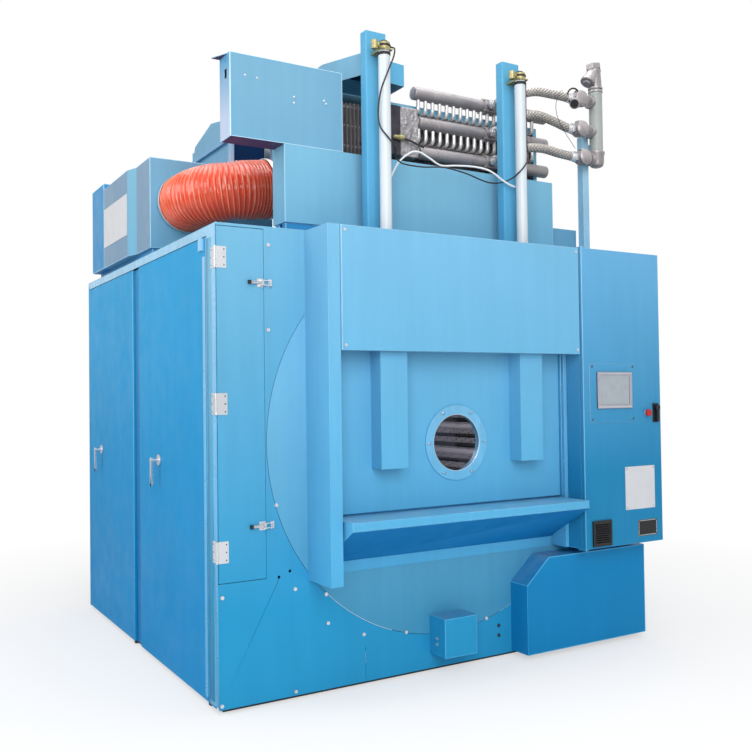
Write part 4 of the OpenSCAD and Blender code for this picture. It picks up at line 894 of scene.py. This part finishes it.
hub = mouth + Vector((-0.060, -0.020, 0.010))
hoop.sweep([hub + 0.046 * around(t, X, 0.9 * Z - 0.2 * Y) for t in np.linspace(0, 360, 33)], 0.005, 10)
hoop.lathe([(0, 8), (20, 10), (26, 7)], mouth + 0.030 * Z - 0.01 * X, Vector((-0.35, -0.2, 0.9)), 16)
hoop.piece("valve_handle", ["black_plastic"], width=0.0)
print("pipework done")

# %% [markdown]
# ## Fasteners and thin plates
# Bolts and rivets sit where the panels are fixed. A few dozen points with a direction are enough: the
# tree puts a head on each point and turns it to that direction. A thin channel on the front corner, a
# rail on the edge of the side door and a bare plate on the filter housing are single flat blocks.

# %% Screw heads
g, src, end = new_tree("heads", "Radius Height Dome")
ball = add(g, "GeometryNodeMeshUVSphere", Segments=16, Rings=8, Radius=1.0)
flat = vector(g, X=src["Radius"], Y=src["Radius"], Z=src["Dome"])
cap = add(g, "GeometryNodeTransform", Geometry=ball, Scale=flat)
washer = add(g, "GeometryNodeMeshCylinder", Vertices=16, Radius=src["Radius"], Depth=src["Height"])
both = add(g, "GeometryNodeJoinGeometry", i0=cap)
plug(g, both, i0=washer)
end(copies(g, src["Geometry"], both, stored(g, "axis", "FLOAT_VECTOR")))
heads_tree = g


def heads(name, spots, direction, radius, height, dome, material, body="frame"):
    """Fastener heads at (x, y, z) spots in mm, all turned one way."""
    grow(name, points_mesh([at(*p) for p in spots], [direction] * len(spots)), heads_tree, material, body=body,
         Radius=radius, Height=height, Dome=dome)


rivets = [(x, 79.5, z) for x, z in ((188, 2987), (250, 2983), (447, 2923), (446, 2893), (625, 2916), (614, 2930))]
plate("corner_channel", "blue_paint", (-0.8, 54, 45), (0, 116, 2190), width=0.0)
# The rail takes the pale edge paint as a painted highlight.
plate("door_edge_rail", "edge_paint", (-1.6, 138, 40), (0, 172, 2110), "side_door_front")
heads("upper_box_rivets", rivets, -Y, 0.006, 0.003, 0.004, "bright_metal")
plate("housing_plate", "white_plate", (-2, 1480, 2430), (0, 2030, 2680))
rivets = [(-2, y, z) for y in (1495, 1755, 2015) for z in (2444, 2666)]
heads("housing_plate_rivets", rivets, -X, 0.005, 0.002, 0.003, "bright_metal")
heads("cover_bolts", [(1612, 0, z) for z in (123, 176)], -Y, 0.010, 0.006, 0.005, "dark_steel")
b = Build()
for x in (840, 1710):
    b.lathe([(0, 30.2), (1, 32.5), (15, 32.5), (16, 30.2)], at(x, -135, 3128), Z, 32)
    b.lathe([(0, 33), (2, 34.5), (8, 34.5), (10, 33)], at(x, -135, 3172), Z, 32)
    b.lathe([(0, 20), (10, 20), (14, 12)], at(x, -135, 3192), Z, 6)
b.piece("cylinder_bands", ["black_plastic"], width=0.0)
rows = [z + s for z in (2090, 1413, 734) for s in (-36, 0, 36)]
heads("door_hinge_screws", [(40, -4, z) for z in rows], -Y, 0.0034, 0.001, 0.001, "dark_steel", "access_door")
heads("post_hinge_screws", [(-4, 46, z) for z in rows], -X, 0.0034, 0.001, 0.001, "dark_steel")
window_x, window_z, screw_ring = 1275, 1193, 176
screws = [(window_x + screw_ring * v.x, -103, window_z + screw_ring * v.z) for v in map(around, range(0, 360, 60))]
heads("window_screws", screws, -Y, 0.0085, 0.004, 0.006, "bright_metal", "front_door")

# %% [markdown]
# ## Window
# The porthole is tempered glass in a rubber gasket behind a screwed steel ring. The glass is
# a thin dark tint that lets the lamps into the drum behind it.

# %% Window
# The ring's front faces and bent edges take the pale edge paint as painted highlights.
dress("window_ring", ["door_blue_paint", "edge_paint"], 0.002, lambda c, n: int(n.y < -0.9))
b = Build()
# The gasket is drawn in bright metal, a painted highlight along the inner rim.
b.sweep([at(window_x, -101, window_z) + 0.1465 * around(t) for t in np.linspace(0, 360, 97)], 0.0022, 10)
b.piece("window_gasket", ["bright_metal"], body="front_door", width=0.0)
finishes["window_glass"], t, p = new_material("window_glass")
smudge = clouds(t, add(t, "ShaderNodeTexCoord").outputs["Object"], 9, 5)
plug(t, p, Base_Color=mix(t, smudge, linear(30, 32, 44), linear(52, 54, 66)), Alpha=0.28, IOR=1.45,
     Roughness=ramp(t, smudge, 0.4, 0.7, To_Min=0.02, To_Max=0.12))
dress("window_glass", "window_glass", 0.001, rim=None)
print("window done")

# %% [markdown]
# ## Drum wall
# Warm air enters the drum through rows of punched holes. A grid on the inner wall is bent into a
# cylinder by the tree, and each point gets a dark disc that faces the axis, as painted shade in the hole.
# Paler strips and dark seams run along the wall. A second tree sets thin bars round a circle for them.

# %% Drum holes
drum_centre = at(1275, 1237.5, 1220)
g, src, end = new_tree("punched_wall", "Radius Length Slant Hole", "Around Rows")
grid = add(g, "GeometryNodeMeshGrid", Size_X=2 * math.pi, Size_Y=src["Length"], Vertices_X=src["Around"],
           Vertices_Y=src["Rows"])
spot = add(g, "ShaderNodeSeparateXYZ", Vector=add(g, "GeometryNodeInputPosition")).outputs
angle = maths(g, "ADD", spot[0], times(g, spot[1], src["Slant"]))
outward = vector(g, X=maths(g, "SINE", angle), Z=maths(g, "COSINE", angle))
depth = vector(g, Y=spot[1])
place = add(g, "ShaderNodeVectorMath", {"operation": "ADD"}, i0=scaled(g, outward, src["Radius"]), i1=depth)
facing = store(g, grid, "axis", scaled(g, outward, -1.0), "FLOAT_VECTOR")
bent = add(g, "GeometryNodeSetPosition", Geometry=facing, Position=place)
disc = add(g, "GeometryNodeMeshCircle", {"fill_type": "NGON"}, Vertices=6, Radius=src["Hole"])
holes = copies(g, bent, disc, stored(g, "axis", "FLOAT_VECTOR"))
end(add(g, "GeometryNodeTransform", Geometry=holes, Translation=drum_centre))
# The black discs are painted shade in the holes.
grow("drum_holes", points_mesh([(0, 0, 0)]), g, "black_plastic", body="drum", smooth=0,
     Radius=0.9354, Length=1.86, Around=169, Rows=54, Slant=0.35, Hole=0.007)

# %% Drum strips and seams
g, src, end = new_tree("joint_strips", "Radius Width Length Thick Phase", "Count")
ring = add(g, "GeometryNodeMeshCircle", Vertices=src["Count"], Radius=src["Radius"])
bar = add(g, "GeometryNodeMeshCube", Size=vector(g, X=src["Thick"], Y=src["Width"], Z=src["Length"]))
bars = copies(g, ring, bar, add(g, "GeometryNodeInputPosition"), "X")
turned = vector(g, X=math.pi / 2, Y=src["Phase"])
end(add(g, "GeometryNodeTransform", Geometry=bars, Translation=drum_centre, Rotation=turned))
for name, phase, width, paint in (
        ("drum_strips", 0.0, 0.036, "drum_strip"), ("drum_seams_a", 0.065, 0.026, "black_plastic"),
        ("drum_seams_b", 0.135, 0.03, "black_plastic")):
    grow(name, points_mesh([(0, 0, 0)]), g, paint, body="drum", smooth=0,
         Radius=0.9338, Count=34, Width=width, Length=1.8, Thick=0.0016, Phase=phase)

# %% [markdown]
# ## Control cabinet front
# The touch panel is a grey bezel with a glassy grey screen in a slightly raised blue plate with a
# silver line around it. The other plates are bare.


# %% Cabinet plates
def plate_kind(c, n):
    if c[2] > 1200:
        return 3 if min(abs(c[0] - 2092), abs(c[0] - 2410)) < 9 and c[1] < -253.5 else 0
    return 1 if c[2] > 740 else 2


def fitting_faces(c, n):
    """Bezel front in grey; bezel sides in black as painted shade, like the black grille, lock plate and button collar.
    """
    if c[2] > 1340 and c[0] < 2420:
        return 1 if n.y < -0.5 else 0
    return 2 if c[0] > 2495 and c[0] < 2540 else 0


finish("bezel_grey", (156, 158, 170), 0.34, vary=0.06, tone=14, grain=700)
finish("screen_glass", (156, 164, 172), 0.14, vary=0.07, tone=18, bump=0.0, rough_vary=0.05)
plates = ["cabinet_blue_paint", "white_plate", "black_plastic", "bright_metal"]
dress("cabinet_plates", plates, 0.001, plate_kind, rim="bright_metal")
dress("door_fittings", ["black_plastic", "bezel_grey", "bright_metal"], 0.002, fitting_faces, None)
panel_x, panel_z = 2262.5, 1455.5
plate("touch_screen", "screen_glass", (panel_x - 111, -259.6, panel_z - 79), (panel_x + 111, -258.6, panel_z + 83),
      "cabinet_door")
b = Build()
for low, high in ((-97, -90), (92, 95)):
    b.block(at(panel_x - 128, -262, panel_z + low), at(panel_x + 128, -261, panel_z + high))
for x0, x1, z0, z1 in ((2439, 2585, 622, 625), (2439, 2585, 704, 707), (2439, 2442, 625, 704), (2582, 2585, 625, 704)):
    b.block(at(x0, -252.8, z0), at(x1, -252, z1))
b.piece("plate_trims", ["bright_metal"], body="cabinet_door", width=0.0003)

# %% [markdown]
# ## Rollers
# The drum rides on rubber-tyred wheels. One node holds shaft and wheels, so the finish is chosen by
# distance from the shaft.

# %% Rollers
for name in ("roller_left", "roller_right"):
    lo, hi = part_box(name)
    shaft_x, shaft_z = (lo.x + hi.x) / 2 * 1000 + zero_x, (lo.z + hi.z) / 2 * 1000
    on_tyre = lambda c, n: int(math.hypot(c[0] - shaft_x, c[2] - shaft_z) > 100 and c[1] > 100)
    dress(name, ["dark_steel", "wheel_rubber"], 0.002, on_tyre, None)
print("rollers done")

# %% [markdown]
# ## Stage, light and end
# A pale floor takes the shadow and three soft lamps give even studio light. A small lamp in the drum
# shows its wall through the window. Camera, glossy and transmission rays see a white world, while
# diffuse light comes from a gentler one.


# %% Stage and light
def seen_by(t, *kinds):
    """1 for rays of these kinds, 0 for others."""
    rays, seen = add(t, "ShaderNodeLightPath").outputs, 0.0
    for kind in kinds:
        seen = maths(t, "MAXIMUM", seen, rays[f"Is {kind} Ray"])
    return seen


floor_mesh = bpy.data.meshes.new("studio_floor")
floor_mesh.from_pydata([(-40, -40, 0), (40, -40, 0), (40, 40, 0), (-40, 40, 0)], [], [[0, 1, 2, 3]])
floor = new_object("studio_floor", floor_mesh)
fm, t, p = new_material("studio_floor")
plug(t, p, Base_Color=(0.9, 0.9, 0.9, 1), Roughness=0.9)
far = add(t, "ShaderNodeVectorMath", {"operation": "LENGTH"}, i0=add(t, "ShaderNodeTexCoord").outputs["Object"])
share = ramp(t, far.outputs["Value"], 1.8, 4.5, To_Min=0.55, To_Max=1.0)
part = times(t, seen_by(t, "Camera", "Transmission"), share)
glow = add(t, "ShaderNodeEmission", Color=(1, 1, 1, 1), Strength=1.0)
plug(t, t.nodes["Material Output"], Surface=add(t, "ShaderNodeMixShader", i0=part, i1=p, i2=glow))
floor_mesh.materials.append(fm)

world = bpy.data.worlds.new("studio")
bpy.context.scene.world = world
world.use_nodes = True
t = world.node_tree
level = ramp(t, seen_by(t, "Camera", "Transmission", "Glossy"), 0.0, 1.0, To_Min=0.44, To_Max=1.0)
plug(t, t.nodes["Background"], Color=(1, 1, 1, 1), Strength=level)


def soft_lamp(name, place, target, size, power):
    """A square soft lamp that looks at a point."""
    lamp = bpy.data.lights.new(name, "AREA")
    lamp.size, lamp.energy = size, power
    aim = (Vector(target) - Vector(place)).to_track_quat("-Z", "Y").to_matrix().to_4x4()
    new_object(name, lamp).matrix_world = Matrix.Translation(place) @ aim


soft_lamp("front_softbox", (-3.5, -8.0, 4.4), (0, -1, 1.9), 6.0, 480)
soft_lamp("left_softbox", (-8.0, 0.5, 5.5), (-1, 0, 1.4), 4.0, 210)
soft_lamp("top_softbox", (0.5, -1.0, 8.5), (0, 0, 2.5), 5.0, 260)
inside = bpy.data.lights.new("drum_lamp", "POINT")
inside.energy, inside.shadow_soft_size = 70, 0.25
new_object("drum_lamp", inside).location = at(1000, 900, 1650)
bpy.context.scene.view_settings.view_transform = "Standard"
print("stage set")
